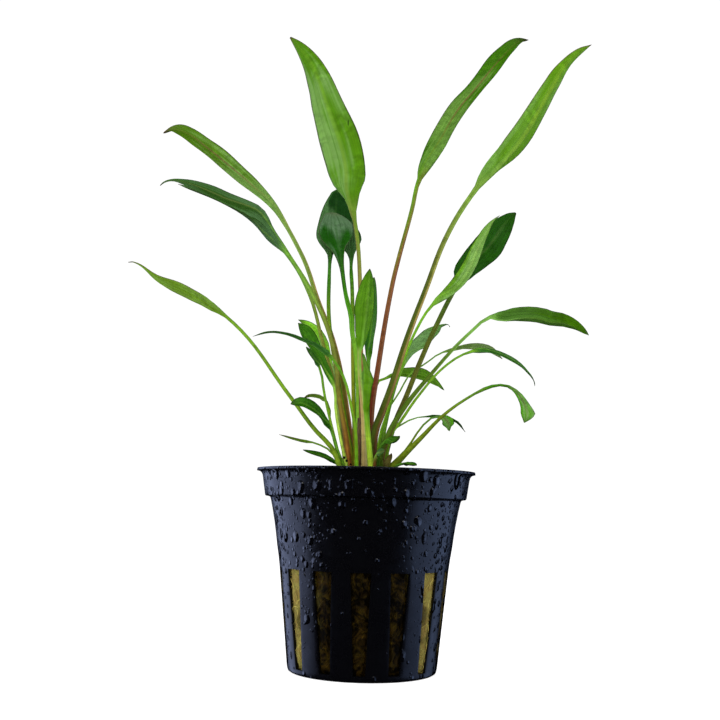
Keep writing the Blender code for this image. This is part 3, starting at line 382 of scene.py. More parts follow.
LOOKS = {
    "top": Look(
        (0.062, 0.175, 0.003), (0.13, 0.26, 0.055), GREEN_VEIN, (0.12, 0.26, 0.02), PURPLE_MARGIN,
        BROWN_TIP,
        ((0.12, 0.21, 0.02), (0.24, 0.15, 0.05), (0.16, 0.07, 0.02)), (0.15, 0.09, 0.03),
        wax=(0.05, 0.02, -0.12, 0.16), rib_width=0.8),
    "red_stalk": Look(
        (0.035, 0.135, 0.001), (0.1, 0.215, 0.03), (0.05, 0.13, 0.004), (0.13, 0.075, 0.025),
        (0.045, 0.03, 0.015), (0.02, 0.015, 0.008),
        ((0.1, 0.23, 0.012), (0.17, 0.06, 0.02), (0.21, 0.022, 0.012)), (0.18, 0.07, 0.03),
        wax=(0.12, 0.0, -0.26, 0.0), reach=3.5),
    "mauve_stalk": Look(
        (0.085, 0.225, 0.004), (0.125, 0.275, 0.04), (0.09, 0.24, 0.01), (0.17, 0.31, 0.02), PURPLE_MARGIN,
        BROWN_TIP,
        ((0.18, 0.33, 0.045), (0.31, 0.22, 0.065), (0.11, 0.045, 0.013)), (0.06, 0.085, 0.008),
        wax=(-0.02, 0.0, -0.18, 0.0), rib_width=1.2),
    "olive_stalk": Look(
        (0.062, 0.155, 0.004), (0.13, 0.26, 0.05), (0.07, 0.16, 0.008), (0.13, 0.08, 0.03), PURPLE_MARGIN,
        (0.08, 0.04, 0.015),
        ((0.165, 0.28, 0.05), (0.13, 0.16, 0.015), (0.18, 0.06, 0.015)), (0.42, 0.2, 0.1),
        wax=(0.27, -0.1, -0.3, 0.0), reach=3.0),
    "gold_stalk": Look(
        (0.1, 0.2, 0.005), (0.135, 0.25, 0.035), (0.1, 0.24, 0.01), (0.15, 0.26, 0.03), PURPLE_MARGIN,
        (0.08, 0.06, 0.015),
        ((0.13, 0.27, 0.015), (0.14, 0.27, 0.014), (0.15, 0.24, 0.012)), (0.16, 0.2, 0.02),
        wax=(0.06, 0.0, -0.1, 0.0)),
    "green_stalk": Look(
        (0.062, 0.25, 0.003), (0.14, 0.29, 0.07), (0.07, 0.22, 0.006), (0.1, 0.12, 0.03), DARK_MARGIN,
        GREEN_TIP,
        ((0.05, 0.18, 0.012), (0.13, 0.31, 0.01), (0.09, 0.09, 0.006)), (0.14, 0.2, 0.01)),
    "blue_green": Look(
        (0.026, 0.08, 0.009), (0.055, 0.13, 0.04), (0.025, 0.09, 0.008), (0.09, 0.13, 0.03), DARK_MARGIN,
        (0.05, 0.045, 0.015),
        ((0.12, 0.28, 0.03), (0.18, 0.21, 0.03), (0.34, 0.12, 0.02)), (0.12, 0.05, 0.01),
        wax=(0.46, -0.16, 0.04, 0.0), reach=0.8),
    "bluish": Look(
        (0.085, 0.25, 0.025), (0.14, 0.29, 0.085), (0.08, 0.2, 0.04), (0.12, 0.25, 0.06), DARK_MARGIN,
        GREEN_TIP,
        ((0.17, 0.38, 0.03), (0.18, 0.38, 0.03), (0.15, 0.34, 0.02)), (0.08, 0.2, 0.01),
        wax=(0.2, 0.1, 0.0, 0.0)),
    "arching": Look(
        (0.018, 0.115, 0.004), (0.045, 0.15, 0.025), (0.03, 0.11, 0.01), (0.1, 0.2, 0.04), DARK_MARGIN,
        GREEN_TIP,
        ((0.13, 0.33, 0.02), (0.17, 0.34, 0.015), (0.17, 0.4, 0.015)), (0.16, 0.33, 0.015),
        wax=(0.1, 0.0, 0.0, 0.0)),
    "bright_stalk": Look(
        (0.07, 0.195, 0.003), (0.1, 0.24, 0.015), (0.07, 0.2, 0.005), (0.12, 0.28, 0.02), DARK_MARGIN,
        GREEN_TIP,
        ((0.15, 0.34, 0.02), (0.34, 0.56, 0.035), (0.48, 0.62, 0.045)), (0.14, 0.32, 0.012)),
    "pale_blade": Look(
        (0.1, 0.255, 0.01), (0.17, 0.33, 0.075), (0.1, 0.26, 0.012), (0.2, 0.36, 0.07), DARK_MARGIN,
        GREEN_TIP,
        ((0.15, 0.36, 0.02), (0.22, 0.5, 0.025), (0.2, 0.46, 0.02)), (0.12, 0.3, 0.01),
        wax=(0.0, 0.1, 0.0, 0.0), rib_width=0.8),
    "grey_green": Look(
        (0.11, 0.2, 0.03), (0.14, 0.24, 0.07), (0.09, 0.18, 0.03), (0.16, 0.25, 0.06), (0.1, 0.1, 0.05),
        GREEN_TIP,
        ((0.16, 0.34, 0.04), (0.18, 0.36, 0.03), (0.15, 0.3, 0.02)), (0.12, 0.26, 0.02)),
    "pale_stalk": Look(
        (0.165, 0.45, 0.008), (0.21, 0.49, 0.04), (0.09, 0.24, 0.008), (0.16, 0.33, 0.04), DARK_MARGIN,
        GREEN_TIP,
        ((0.22, 0.38, 0.08), (0.2, 0.28, 0.05), (0.2, 0.22, 0.05)), (0.16, 0.24, 0.04)),
    "tan_stalk": Look(
        (0.05, 0.18, 0.001), (0.085, 0.235, 0.008), (0.045, 0.15, 0.002), (0.11, 0.25, 0.02), DARK_MARGIN,
        BROWN_TIP,
        ((0.19, 0.44, 0.05), (0.38, 0.5, 0.11), (0.72, 0.54, 0.27)), (0.42, 0.31, 0.11),
        wax=(0.04, 0.0, -0.06, 0.0), reach=0.8),
    "long_stalk": Look(
        (0.045, 0.14, 0.001), (0.065, 0.17, 0.02), (0.03, 0.11, 0.002), (0.08, 0.18, 0.015), DARK_MARGIN,
        GREEN_TIP,
        ((0.25, 0.54, 0.1), (0.09, 0.16, 0.018), (0.11, 0.055, 0.013)), (0.07, 0.13, 0.01),
        wax=(0.08, 0.0, -0.16, 0.0)),
    "brown_stalk": Look(
        (0.01, 0.064, 0.001), (0.03, 0.095, 0.014), (0.008, 0.05, 0.002), (0.03, 0.08, 0.008), DARK_MARGIN,
        (0.02, 0.05, 0.01),
        ((0.05, 0.11, 0.01), (0.09, 0.1, 0.012), (0.09, 0.045, 0.015)), (0.09, 0.11, 0.015),
        wax=(-0.2, -0.22, -0.2, 0.0)),
    "dark": Look(
        (0.018, 0.105, 0.001), (0.045, 0.15, 0.01), (0.016, 0.09, 0.002), (0.07, 0.19, 0.012), DARK_MARGIN,
        (0.03, 0.06, 0.01),
        ((0.09, 0.26, 0.02), (0.12, 0.29, 0.02), (0.14, 0.29, 0.015)), (0.05, 0.14, 0.01)),
    "dark_pale_stalk": Look(
        (0.028, 0.135, 0.001), (0.05, 0.19, 0.008), (0.02, 0.11, 0.002), (0.05, 0.17, 0.006), DARK_MARGIN,
        GREEN_TIP,
        ((0.24, 0.45, 0.05), (0.48, 0.68, 0.09), (0.44, 0.64, 0.07)), (0.2, 0.36, 0.03)),
    "spoon": Look(
        (0.008, 0.072, 0.001), (0.085, 0.165, 0.075), (0.012, 0.075, 0.003), (0.02, 0.09, 0.008),
        (0.1, 0.11, 0.05), (0.09, 0.14, 0.06),
        ((0.05, 0.22, 0.006), (0.2, 0.44, 0.03), (0.22, 0.48, 0.03)), (0.13, 0.34, 0.02),
        wax=(-0.4, -0.2, 0.2, -0.1)),
    # Dark blade with its painted sheen kept to the foot: partly the leaf's own dark green, partly a painted
    # shadow of the top leaf over its upper part.
    "spoon_rear": Look(
        (0.006, 0.04, 0.004), (0.055, 0.14, 0.04), (0.008, 0.045, 0.004), (0.02, 0.07, 0.01),
        (0.03, 0.1, 0.01), (0.03, 0.1, 0.01),
        ((0.04, 0.18, 0.008), (0.21, 0.27, 0.014), (0.25, 0.22, 0.012)), (0.06, 0.17, 0.008),
        wax=(0.42, 0.1, -0.34, -0.3)),
    "bract": Look(
        (0.1, 0.09, 0.02), (0.14, 0.13, 0.03), (0.07, 0.06, 0.01), (0.12, 0.1, 0.02), (0.05, 0.03, 0.01),
        BROWN_TIP,
        ((0.11, 0.12, 0.015), (0.1, 0.12, 0.012), (0.08, 0.09, 0.01)), (0.1, 0.06, 0.02)),
}


class PotSettings(bpy.types.PropertyGroup):
    wall: FloatProperty(name="Wall", description="Thickness of the pot's wall",
                        default=0.6 * MM, unit="LENGTH")
    edge: FloatProperty(name="Edge", description="Rounding of the edges of slots and lip",
                        default=0.12 * MM, unit="LENGTH")
    colour: FloatVectorProperty(name="Colour", description="Colour of the plastic",
                                default=(0.0012, 0.0012, 0.002), subtype="COLOR", size=3)


class WoolSettings(bpy.types.PropertyGroup):
    gap: FloatProperty(name="Gap", description="Room between the rock wool and the pot's wall",
                       default=0.1 * MM, unit="LENGTH")
    bulge: FloatProperty(name="Bulge", description="How far the wool swells out into the pot's slots",
                         default=0.6 * MM, unit="LENGTH")
    lumps: FloatProperty(name="Lumps", description="How far the wool's surface swells and sinks",
                         default=0.5 * MM, unit="LENGTH")
    fibres: IntProperty(name="Fibres", description="How many loose fibres lie on the wool",
                        default=5200, min=0)
    fibre_length: FloatProperty(name="Fibre length", description="Usual length of a loose fibre",
                                default=3.4 * MM, unit="LENGTH")
    colour: FloatVectorProperty(name="Colour", description="Colour of the dry outer wool",
                                default=(0.37, 0.325, 0.076), subtype="COLOR", size=3)
    # The deep colour lies between the threads, where the relief is low: the wet wool further in, darkened
    # with painted shade in those hollows.
    deep: FloatVectorProperty(name="Deep colour", description="Colour of the wet wool further in",
                              default=(0.022, 0.014, 0.003), subtype="COLOR", size=3)


class LeafSettings(bpy.types.PropertyGroup):
    wave: FloatProperty(name="Wave", description="How far a leaf's margin waves up and down",
                        default=MARGIN_WAVE * MM, unit="LENGTH")
    roughness: FloatProperty(name="Roughness", description="How dull a leaf's skin is",
                             default=0.42, min=0.0, max=1.0, subtype="FACTOR")


class StageSettings(bpy.types.PropertyGroup):
    distance: FloatProperty(name="Distance", description="From the pot's axis to the camera",
                            default=0.250, unit="LENGTH")
    eye_height: FloatProperty(name="Eye height", description="Height of the camera above the floor",
                              default=0.0397, unit="LENGTH")
    eye_shift: FloatProperty(name="Eye shift", description="How far the camera stands to the right",
                             default=-0.00227, unit="LENGTH")
    pitch: FloatProperty(name="Pitch", description="How far the camera looks up",
                         default=math.radians(8.52), unit="ROTATION")
    roll: FloatProperty(name="Roll", description="How far the camera leans to its side",
                        default=math.radians(1.40), unit="ROTATION")
    lens: FloatProperty(name="Lens", description="Focal length in millimetres",
                        default=49.125, min=1.0, unit="CAMERA")
    floor: FloatProperty(name="Floor", description="Radius of the pale floor",
                         default=3.0, unit="LENGTH")


class Nodes:
    """Adds nodes to one tree, with each input either linked or set."""

    def __init__(self, tree):
        self.tree = tree

    def add(self, kind, values=None, **settings):
        node = self.tree.nodes.new(kind)
        for name, value in settings.items():
            setattr(node, name, value)
        for name, value in (values or {}).items():
            self.feed(node.inputs[name], value)
        return node

    def feed(self, socket, value):
        if isinstance(value, bpy.types.NodeSocket):
            self.tree.links.new(value, socket)
        elif socket.type == "RGBA" and len(value) == 3:
            socket.default_value = (*value, 1.0)
        else:
            socket.default_value = value

    def math(self, operation, *values, clamp=False):
        node = self.add("ShaderNodeMath", {number: value for number, value in enumerate(values)},
                        operation=operation, use_clamp=clamp)
        return node.outputs[0]

    def times(self, *values):
        return self.math("MULTIPLY", *values)

    def plus(self, *values, **settings):
        return self.math("ADD", *values, **settings)

    def vector_math(self, operation, *values):
        node = self.add("ShaderNodeVectorMath", {number: value for number, value in enumerate(values)},
                        operation=operation)
        return node.outputs[0]

    def ramp(self, value, low, high, start=0.0, end=1.0):
        """Runs smoothly from start to end as the value goes from low to high."""
        node = self.add("ShaderNodeMapRange", {"Value": value, "From Min": low, "From Max": high,
                                               "To Min": start, "To Max": end},
                        interpolation_type="SMOOTHSTEP")
        return node.outputs["Result"]

    def mix(self, factor, a, b, blend="MIX"):
        node = self.add("ShaderNodeMix", data_type="RGBA", blend_type=blend)
        self.feed(node.inputs[0], factor)
        self.feed(node.inputs[6], a)
        self.feed(node.inputs[7], b)
        return node.outputs[2]

    def tint(self, colour, factor):
        """A colour times a factor or another colour."""
        return self.mix(1.0, colour, factor, "MULTIPLY")

    def noise(self, vector, scale, detail=2.0, roughness=0.5):
        node = self.add("ShaderNodeTexNoise", {"Vector": vector, "Scale": scale, "Detail": detail,
                                               "Roughness": roughness})
        return node.outputs["Fac"]

    def combine(self, x, y, z):
        return self.add("ShaderNodeCombineXYZ", {"X": x, "Y": y, "Z": z}).outputs[0]

    def separate(self, vector):
        return self.add("ShaderNodeSeparateXYZ", {"Vector": vector}).outputs

    def attribute(self, name):
        return self.add("ShaderNodeAttribute", attribute_name=name).outputs["Vector"]

    def millimetres(self):
        """The place on the object, in millimetres."""
        place = self.add("ShaderNodeTexCoord").outputs["Object"]
        return self.vector_math("MULTIPLY", place, (1 / MM, 1 / MM, 1 / MM))


def new_group(name, inputs, outputs):
    """A shader node group with its helper for nodes, and its inputs and outputs by name."""
    group = bpy.data.node_groups.new(name, "ShaderNodeTree")
    kinds = {"colour": "NodeSocketColor", "value": "NodeSocketFloat"}
    for label, kind, value in inputs:
        socket = group.interface.new_socket(label, in_out="INPUT", socket_type=kinds[kind])
        socket.default_value = (*value, 1.0) if kind == "colour" else value
    for label, kind in outputs:
        group.interface.new_socket(label, in_out="OUTPUT", socket_type=kinds[kind])
    nodes = Nodes(group)
    given = group.nodes.new("NodeGroupInput").outputs
    result = group.nodes.new("NodeGroupOutput").inputs
    return group, nodes, given, result


def leaf_surface(title):
    """Node group: colour, roughness and relief of a leaf from its crown to its tip."""
    group, nodes, given, result = new_group(
        title,
        [*((name, "colour", WHITE) for name in LOOK_COLOURS), ("Back", "colour", (0.8, 0.86, 0.9)),
         *((name, "value", 0.0) for name in LOOK_VALUES), ("Margin Width", "value", 0.3)],
        [("Color", "colour"), ("Roughness", "value"), ("Height", "value")])
    across, along, face = nodes.separate(nodes.attribute("leaf"))
    margin, middle, tip = nodes.separate(nodes.attribute("span"))
    place = nodes.millimetres()

    side = nodes.math("ABSOLUTE", middle)
    half = nodes.plus(side, margin)
    veins = 0.0
    for share, strength in VEINS:
        away = nodes.math("ABSOLUTE", nodes.math("SUBTRACT", side, nodes.times(half, share)))
        veins = nodes.math("MAXIMUM", nodes.ramp(away, 0.0, VEIN_WIDTH, strength, 0.0), veins)
    rib = nodes.ramp(side, 0.1, given["Rib Width"], 1.0, 0.0)

    def streaks(count, run, detail=1.0):
        """Streaks along the leaf: how many across each half, and how fast they change on the way."""
        spread = nodes.combine(nodes.times(across, count), nodes.times(tip, run), given["Seed"])
        return nodes.noise(spread, 1.0, detail)

    patch = nodes.noise(place, 0.09, 2.0)
    # Painted sheen: where stretches of painted reflection lie, in streaks along the leaf and in patches,
    # shifted along the leaf and to one side by the look.
    painted_sheen = nodes.math("MULTIPLY_ADD", streaks(5.0, 0.035), 0.35, streaks(1.5, 0.035))
    painted_sheen = nodes.plus(painted_sheen, nodes.times(patch, 0.5))
    lean = nodes.ramp(along, 0.1, 0.5, given["Wax Foot"], given["Wax Middle"])
    lean = nodes.ramp(along, 0.6, 0.9, lean, given["Wax Tip"])
    lean = nodes.math("MULTIPLY_ADD", across, given["Wax Side"], lean)
    painted_sheen = nodes.ramp(nodes.plus(painted_sheen, lean), 0.78, 1.06)
    streak = streaks(4.0, 0.1, 2.0)
    mottle = nodes.noise(place, 0.35, 2.0)

    # The painted sheen's grey-green laid over the blade's ground colour.
    blade = nodes.mix(painted_sheen, given["Blade"], given["Band"])
    shown = nodes.times(veins, nodes.ramp(streak, 0.3, 0.7, 0.15, 0.6))
    blade = nodes.mix(shown, blade, given["Vein"])
    blade = nodes.tint(blade, nodes.ramp(streaks(16.0, 0.035), 0.3, 0.7, 0.93, 1.07))
    rib_colour = nodes.mix(nodes.ramp(along, 0.05, 0.5), given["Stalk Top"], given["Rib"])
    rib_fade = nodes.ramp(along, 0.6, 0.95, 0.75, 0.2)
    blade = nodes.mix(nodes.times(rib, rib_fade), blade, rib_colour)
    blade = nodes.mix(nodes.ramp(tip, 0.0, nodes.times(given["Tip Length"], 2.5), 0.4, 0.0),
                      blade, given["Margin"])
    blade = nodes.mix(nodes.ramp(margin, 0.0, given["Margin Width"], 0.85, 0.0), blade, given["Margin"])
    blade = nodes.mix(nodes.ramp(tip, 0.0, given["Tip Length"], 1.0, 0.0), blade, given["Tip"])

    lower = nodes.ramp(along, -1.0, -0.5)
    upper = nodes.ramp(along, -0.5, 0.0)
    stalk = nodes.mix(lower, given["Stalk Foot"], given["Stalk Middle"])
    stalk = nodes.mix(upper, stalk, given["Stalk Top"])
    edge = nodes.ramp(nodes.plus(across, nodes.times(streak, 0.5)), 0.35, 0.95)
    edge = nodes.times(edge, nodes.ramp(along, -0.05, -0.4, 0.35, 1.0))
    stalk = nodes.mix(edge, stalk, given["Stalk Edge"])
    stalk = nodes.tint(stalk, nodes.ramp(streak, 0.3, 0.7, 0.8, 1.2))

    whole = nodes.mix(nodes.ramp(along, -0.02, 0.1), stalk, blade)
    whole = nodes.tint(whole, nodes.ramp(mottle, 0.3, 0.7, 0.93, 1.07))
    # Painted shade: the face of the blade turned away from the front is tinted darker and cooler.
    shaded = nodes.tint(whole, given["Back"])
    whole = nodes.mix(nodes.ramp(face, 0.3, -0.3), whole, shaded)

    pucker = nodes.noise(nodes.combine(middle, nodes.times(tip, 1.3), given["Seed"]), 0.55, 2.0)
    puckered = nodes.ramp(nodes.noise(place, 0.11, 1.0), 0.45, 0.6, 0.05, 0.32)
    height = nodes.times(pucker, puckered)
    # Painted shade in the hollows of the puckers and painted light on their crests, from the same noise as
    # their relief.
    crease_shading = nodes.times(nodes.math("SUBTRACT", pucker, 0.5), puckered)
    whole = nodes.tint(whole, nodes.ramp(crease_shading, -0.05, 0.05, 0.84, 1.16))
    relief = nodes.times(veins, nodes.ramp(face, -0.2, 0.2, 0.06, -0.06))
    height = nodes.plus(height, relief)
    nodes.feed(result["Color"], whole)
    nodes.feed(result["Roughness"], nodes.ramp(mottle, 0.2, 0.8, -0.06, 0.08))
    nodes.feed(result["Height"], height)
    return group


def beads(nodes, place, spacing, size, stretch, share):
    """Round beads on a smooth skin, some of them drawn out downwards: their height, mask and rim."""
    scaled = nodes.vector_math("DIVIDE", place, (spacing, spacing, spacing * stretch))
    cells = nodes.add("ShaderNodeTexVoronoi", {"Vector": scaled, "Scale": 1.0, "Randomness": 1.0},
                      feature="F1", voronoi_dimensions="3D")
    chance, chance_size, _ = nodes.add("ShaderNodeSeparateColor", {"Color": cells.outputs["Color"]}).outputs
    kept = nodes.math("LESS_THAN", chance, share)
    radius = nodes.times(nodes.math("MULTIPLY_ADD", chance_size, 0.6, 0.4), size)
    reach = nodes.math("DIVIDE", cells.outputs["Distance"], radius)
    dome = nodes.math("SUBTRACT", 1.0, nodes.times(reach, reach), clamp=True)
    rim = nodes.times(nodes.math("GREATER_THAN", dome, 0.0), nodes.ramp(dome, 0.05, 0.4, 1.0, 0.0))
    dome = nodes.times(dome, BEAD_HEIGHT)
    height = nodes.times(nodes.times(dome, radius), spacing)
    mask = nodes.math("GREATER_THAN", dome, 0.05)
    return [nodes.times(found, kept) for found in (height, mask, rim)]


def dirt(title):
    """Node group: black specks on the stalks just over the wool, and the bruise."""
    group, nodes, given, result = new_group(title, [], [("Mask", "value")])
    x, y, z = nodes.separate(nodes.millimetres())
    near = nodes.math("LESS_THAN", y, SPECK_DEPTH)
    mask = 0.0
    for sideways, height, half_width, half_height, strength in SPECKS:
        away = nodes.vector_math("SUBTRACT", nodes.combine(x, 0.0, z), (sideways, 0.0, height))
        away = nodes.vector_math("DIVIDE", away, (half_width, 1.0, half_height))
        length = nodes.add("ShaderNodeVectorMath", {0: away}, operation="LENGTH").outputs["Value"]
        mask = nodes.math("MAXIMUM", nodes.ramp(length, 0.7, 1.1, strength, 0.0), mask)
    nodes.feed(result["Mask"], nodes.times(mask, near))
    return group


def new_material(name):
    """A new material with its node helper and its Principled shader."""
    material = bpy.data.materials.new(name)
    material.use_nodes = True
    return material, Nodes(material.node_tree), material.node_tree.nodes["Principled BSDF"]


def place_group(nodes, build, values):
    """Puts a node group in a tree with its own values, and builds the group the first time."""
    title = build.__name__.replace("_", " ")
    group = bpy.data.node_groups.get(title) or build(title)
    return nodes.add("ShaderNodeGroup", values, node_tree=group)


def bump(nodes, shader, height, strength=1.0):
    """Relief in millimetres, as the shader's normal."""
    node = nodes.add("ShaderNodeBump", {"Strength": strength, "Distance": MM, "Height": height})
    nodes.feed(shader.inputs["Normal"], node.outputs["Normal"])


def leaf_material(leaf, number):
    """A leaf's skin, from its look."""
    look = LOOKS[leaf.look]
    material, nodes, shader = new_material(leaf.name.replace("_", " ") + " skin")
    colours = (look.blade, look.band, look.vein, look.rib, look.margin, look.tip, *look.stalk, look.edge)
    values = (*look.wax, look.rib_width, look.reach, number * SEED_STEP)
    surface = place_group(nodes, leaf_surface, dict(zip(LOOK_COLOURS + LOOK_VALUES, colours + values)))
    roughness = bpy.context.scene.leaf_settings.roughness
    specks = place_group(nodes, dirt, {})
    nodes.feed(shader.inputs["Base Color"],
               nodes.mix(specks.outputs["Mask"], surface.outputs["Color"], SPECK_COLOUR))
    nodes.feed(shader.inputs["Roughness"],
               nodes.plus(surface.outputs["Roughness"], roughness, clamp=True))
    shader.inputs["Specular IOR Level"].default_value = 0.04
    bump(nodes, shader, surface.outputs["Height"])
    return material


def plastic_material():
    """Black moulded plastic with a beaded finish, denser towards the lip."""
    material, nodes, shader = new_material("black moulded plastic")
    place = nodes.millimetres()
    sideways, _, height_up = nodes.separate(place)
    upward = nodes.ramp(height_up, *BEADED_RISE, 0.3, 1.0)
    patches = nodes.ramp(nodes.noise(place, 0.09, 1.0), 0.34, 0.54, 0.6, 1.2)
    bare = nodes.ramp(height_up, *BARE_RISE, 0.1, 0.35)
    aside = nodes.ramp(nodes.math("ABSOLUTE", sideways), *BARE_WIDTH, bare, 1.0)
    thick = nodes.times(nodes.times(upward, patches), aside)
    height = nodes.times(nodes.noise(place, 5.0, 3.0, 0.6), 0.006)
    warp = nodes.add("ShaderNodeTexNoise", {"Vector": place, "Scale": 1.1, "Detail": 1.0})
    bent = nodes.vector_math("ADD", place,
                             nodes.vector_math("MULTIPLY", warp.outputs["Color"], BEAD_WARP))
    mask, rim = 0.0, 0.0
    for spacing, size, stretch, share in BEADS:
        bead_height, bead_mask, bead_rim = beads(nodes, bent, spacing, size, stretch,
                                                 nodes.times(thick, share))
        height = nodes.math("MAXIMUM", height, bead_height)
        mask = nodes.math("MAXIMUM", bead_mask, mask)
        rim = nodes.math("MAXIMUM", bead_rim, rim)
    colour = bpy.context.scene.pot_settings.colour
    shader.inputs["Base Color"].default_value = (*colour, 1.0)
    dull = nodes.ramp(nodes.noise(place, 0.3, 3.0), 0.3, 0.7, *PLASTIC_ROUGHNESS)
    nodes.feed(shader.inputs["Roughness"], nodes.math("MULTIPLY_ADD", mask, BEAD_GLOSS, dull))
    worn = nodes.ramp(height_up, *WORN_RISE, *WORN_SHINE)
    nodes.feed(shader.inputs["Specular IOR Level"],
               nodes.times(worn, nodes.math("MULTIPLY_ADD", rim, RIM_SHADE, 1.0)))
    bump(nodes, shader, height)
    return material


def wool_material():
    """Yellow-brown mineral fibre in clumps and threads, dark where wet and in the middle of the front, with
    painted shade between threads and over the side slots, and loose fibres lightened partly as painted
    glints.
    """
    material, nodes, shader = new_material("rock wool")
    settings = bpy.context.scene.wool_settings
    place = nodes.millimetres()
    x, y, z = nodes.separate(place)
    drift = nodes.add("ShaderNodeTexNoise", {"Vector": place, "Scale": 0.22, "Detail": 1.0})
    drift = nodes.vector_math("MULTIPLY", drift.outputs["Color"], WOOL_SWIRL)
    swirl = nodes.vector_math("ADD", place, drift)
    combed = nodes.vector_math("MULTIPLY", swirl, (1.0, 1.0, 0.35))
    threads = nodes.noise(combed, 2.2, 4.0, 0.7)
    clumps = nodes.noise(swirl, 0.5, 2.0)
    patches = nodes.noise(place, 0.13, 2.0)

    # Darker in the middle of the front, darker in wet patches, and painted shade over the side slots.
    inward, forward = DARK_FRONT
    front = nodes.times(nodes.ramp(nodes.math("ABSOLUTE", x), *inward), nodes.ramp(y, *forward))
    # Painted shade over the side slots, between the front and the back.
    start, end = SIDE_SHADE
    sides = nodes.times(nodes.ramp(y, *start, 0.0, 0.85), nodes.ramp(y, *end, 1.0, 0.0))
    wet_and_shade = nodes.plus(front, nodes.ramp(patches, 0.56, 0.7, 0.0, 0.6), clamp=True)
    wet_and_shade = nodes.plus(wet_and_shade, sides, clamp=True)
    thread = nodes.separate(nodes.attribute("thread"))[0]
    # Threads: the deep colour where the relief is low, wet wool with painted shade in the hollows; loose
    # fibres lean to the lighter colour.
    bright = nodes.ramp(nodes.plus(threads, nodes.times(thread, 0.25)), 0.22, 0.58)
    colour = nodes.mix(bright, tuple(settings.deep), tuple(settings.colour))
    colour = nodes.mix(nodes.ramp(clumps, 0.35, 0.65, 0.0, 0.6), colour, CLUMP_COLOUR)
    spots = nodes.ramp(nodes.math("MULTIPLY_ADD", threads, 0.6, nodes.noise(swirl, 0.45, 2.0)), 0.66, 1.02)
    wet = nodes.mix(spots, *WET_AND_SHADE_TINTS)
    colour = nodes.mix(wet_and_shade, colour, nodes.tint(colour, wet))
    # Loose fibres lightened at random, up to nearly twice as bright, partly their own paler tone and partly
    # painted glints; the plug is toned down a little.
    colour = nodes.tint(colour, nodes.ramp(thread, *FIBRE_BRIGHTNESS, 0.7, 1.9))
    nodes.feed(shader.inputs["Base Color"], colour)
    nodes.feed(shader.inputs["Roughness"], nodes.ramp(wet_and_shade, 0.0, 1.0, 0.8, 0.5))
    shader.inputs["Specular IOR Level"].default_value = 0.07
    bump(nodes, shader, nodes.times(threads, 0.35))
    return material


def crown_material():
    """Brown and olive leftover sheaths at the crown, with painted shade in the hollows of their relief."""
    material, nodes, shader = new_material("crown sheaths")
    place = nodes.millimetres()
    grain = nodes.noise(place, 1.4, 4.0, 0.6)
    colour = nodes.mix(nodes.ramp(grain, 0.35, 0.65), *CROWN_COLOURS)
    nodes.feed(shader.inputs["Base Color"], colour)
    shader.inputs["Roughness"].default_value = 0.6
    bump(nodes, shader, nodes.times(grain, 0.4))
    return material


def stub_material():
    """Dried brown leaf stalk with fibres along it."""
    material, nodes, shader = new_material("dried stalk")
    stretched = nodes.vector_math("MULTIPLY", nodes.millimetres(), (1.0, 1.0, 0.15))
    fibre = nodes.noise(stretched, 5.0, 3.0, 0.6)
    colour = nodes.mix(nodes.ramp(fibre, 0.3, 0.7), *STUB_COLOURS)
    nodes.feed(shader.inputs["Base Color"], colour)
    shader.inputs["Roughness"].default_value = 0.6
    bump(nodes, shader, nodes.times(fibre, 0.12))
    return material


def deselect():
    """Nothing stays selected, so that an operator acts only on what comes next."""
    if bpy.context.mode != "OBJECT":
        bpy.ops.object.mode_set(mode="OBJECT")
    bpy.ops.object.select_all(action="DESELECT")


def added(name):
    """The primitive that was just added, named and with its place in its mesh."""
    piece = bpy.context.object
    piece.name = name
    bpy.ops.object.transform_apply(location=True, rotation=True, scale=True)
    return piece


def layered_noise(place, layers):
    """Noise at several scales added up, each with its strength."""
    return sum(noise.noise(place * scale) * strength for scale, strength in layers)


def edit(piece, element="VERT"):
    """Opens a piece in edit mode with nothing selected."""
    bpy.context.view_layer.objects.active = piece
    bpy.ops.object.mode_set(mode="EDIT")
    bpy.ops.mesh.select_mode(type=element)
    bpy.ops.mesh.select_all(action="DESELECT")


def leave_edit():
    bpy.ops.object.mode_set(mode="OBJECT")


def edit_where(piece, element, wanted):
    """Opens a piece in edit mode with only what wanted says yes to selected."""
    edit(piece, element)
    leave_edit()
    mesh = piece.data
    for item in {"VERT": mesh.vertices, "EDGE": mesh.edges, "FACE": mesh.polygons}[element]:
        item.select = wanted(item)
    bpy.ops.object.mode_set(mode="EDIT")


def cut_rows(piece, cuts):
    """Cuts an upright cylinder's side into rows."""
    heights = [corner.co.z for corner in piece.data.vertices]
    middle = sum(heights) / len(heights)
    edit_where(piece, "EDGE", lambda line: (heights[line.vertices[0]] - middle)
               * (heights[line.vertices[1]] - middle) < 0)
    bpy.ops.mesh.subdivide(number_cuts=cuts)
    leave_edit()


def apply_modifier(piece, modifier):
    bpy.context.view_layer.objects.active = piece
    bpy.ops.object.modifier_apply(modifier=modifier.name)


def smooth(piece, degrees=None):
    """Shades a piece smooth, all over or up to an angle between its faces."""
    deselect()
    piece.select_set(True)
    bpy.context.view_layer.objects.active = piece
    if degrees is None:
        bpy.ops.object.shade_smooth()
    else:
        bpy.ops.object.shade_smooth_by_angle(angle=math.radians(degrees))
    deselect()


def settle(piece, node, material):
    """Gives a finished piece its material, hangs it from the root body and hides its node from model.glb.
    """
    piece.data.materials.clear()
    piece.data.materials.append(material)
    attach(piece, "root")
    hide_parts(node)


def rise(rings):
    """Extrudes the selected open edge ring by ring through radii and heights in millimetres."""
    for (radius, height), (next_radius, next_height) in zip(rings, rings[1:]):
        bpy.ops.mesh.extrude_edges_move(
            TRANSFORM_OT_translate={"value": (0, 0, (next_height - height) * MM)})
        share = next_radius / radius
        bpy.ops.transform.resize(value=(share, share, 1), center_override=(0, 0, next_height * MM))


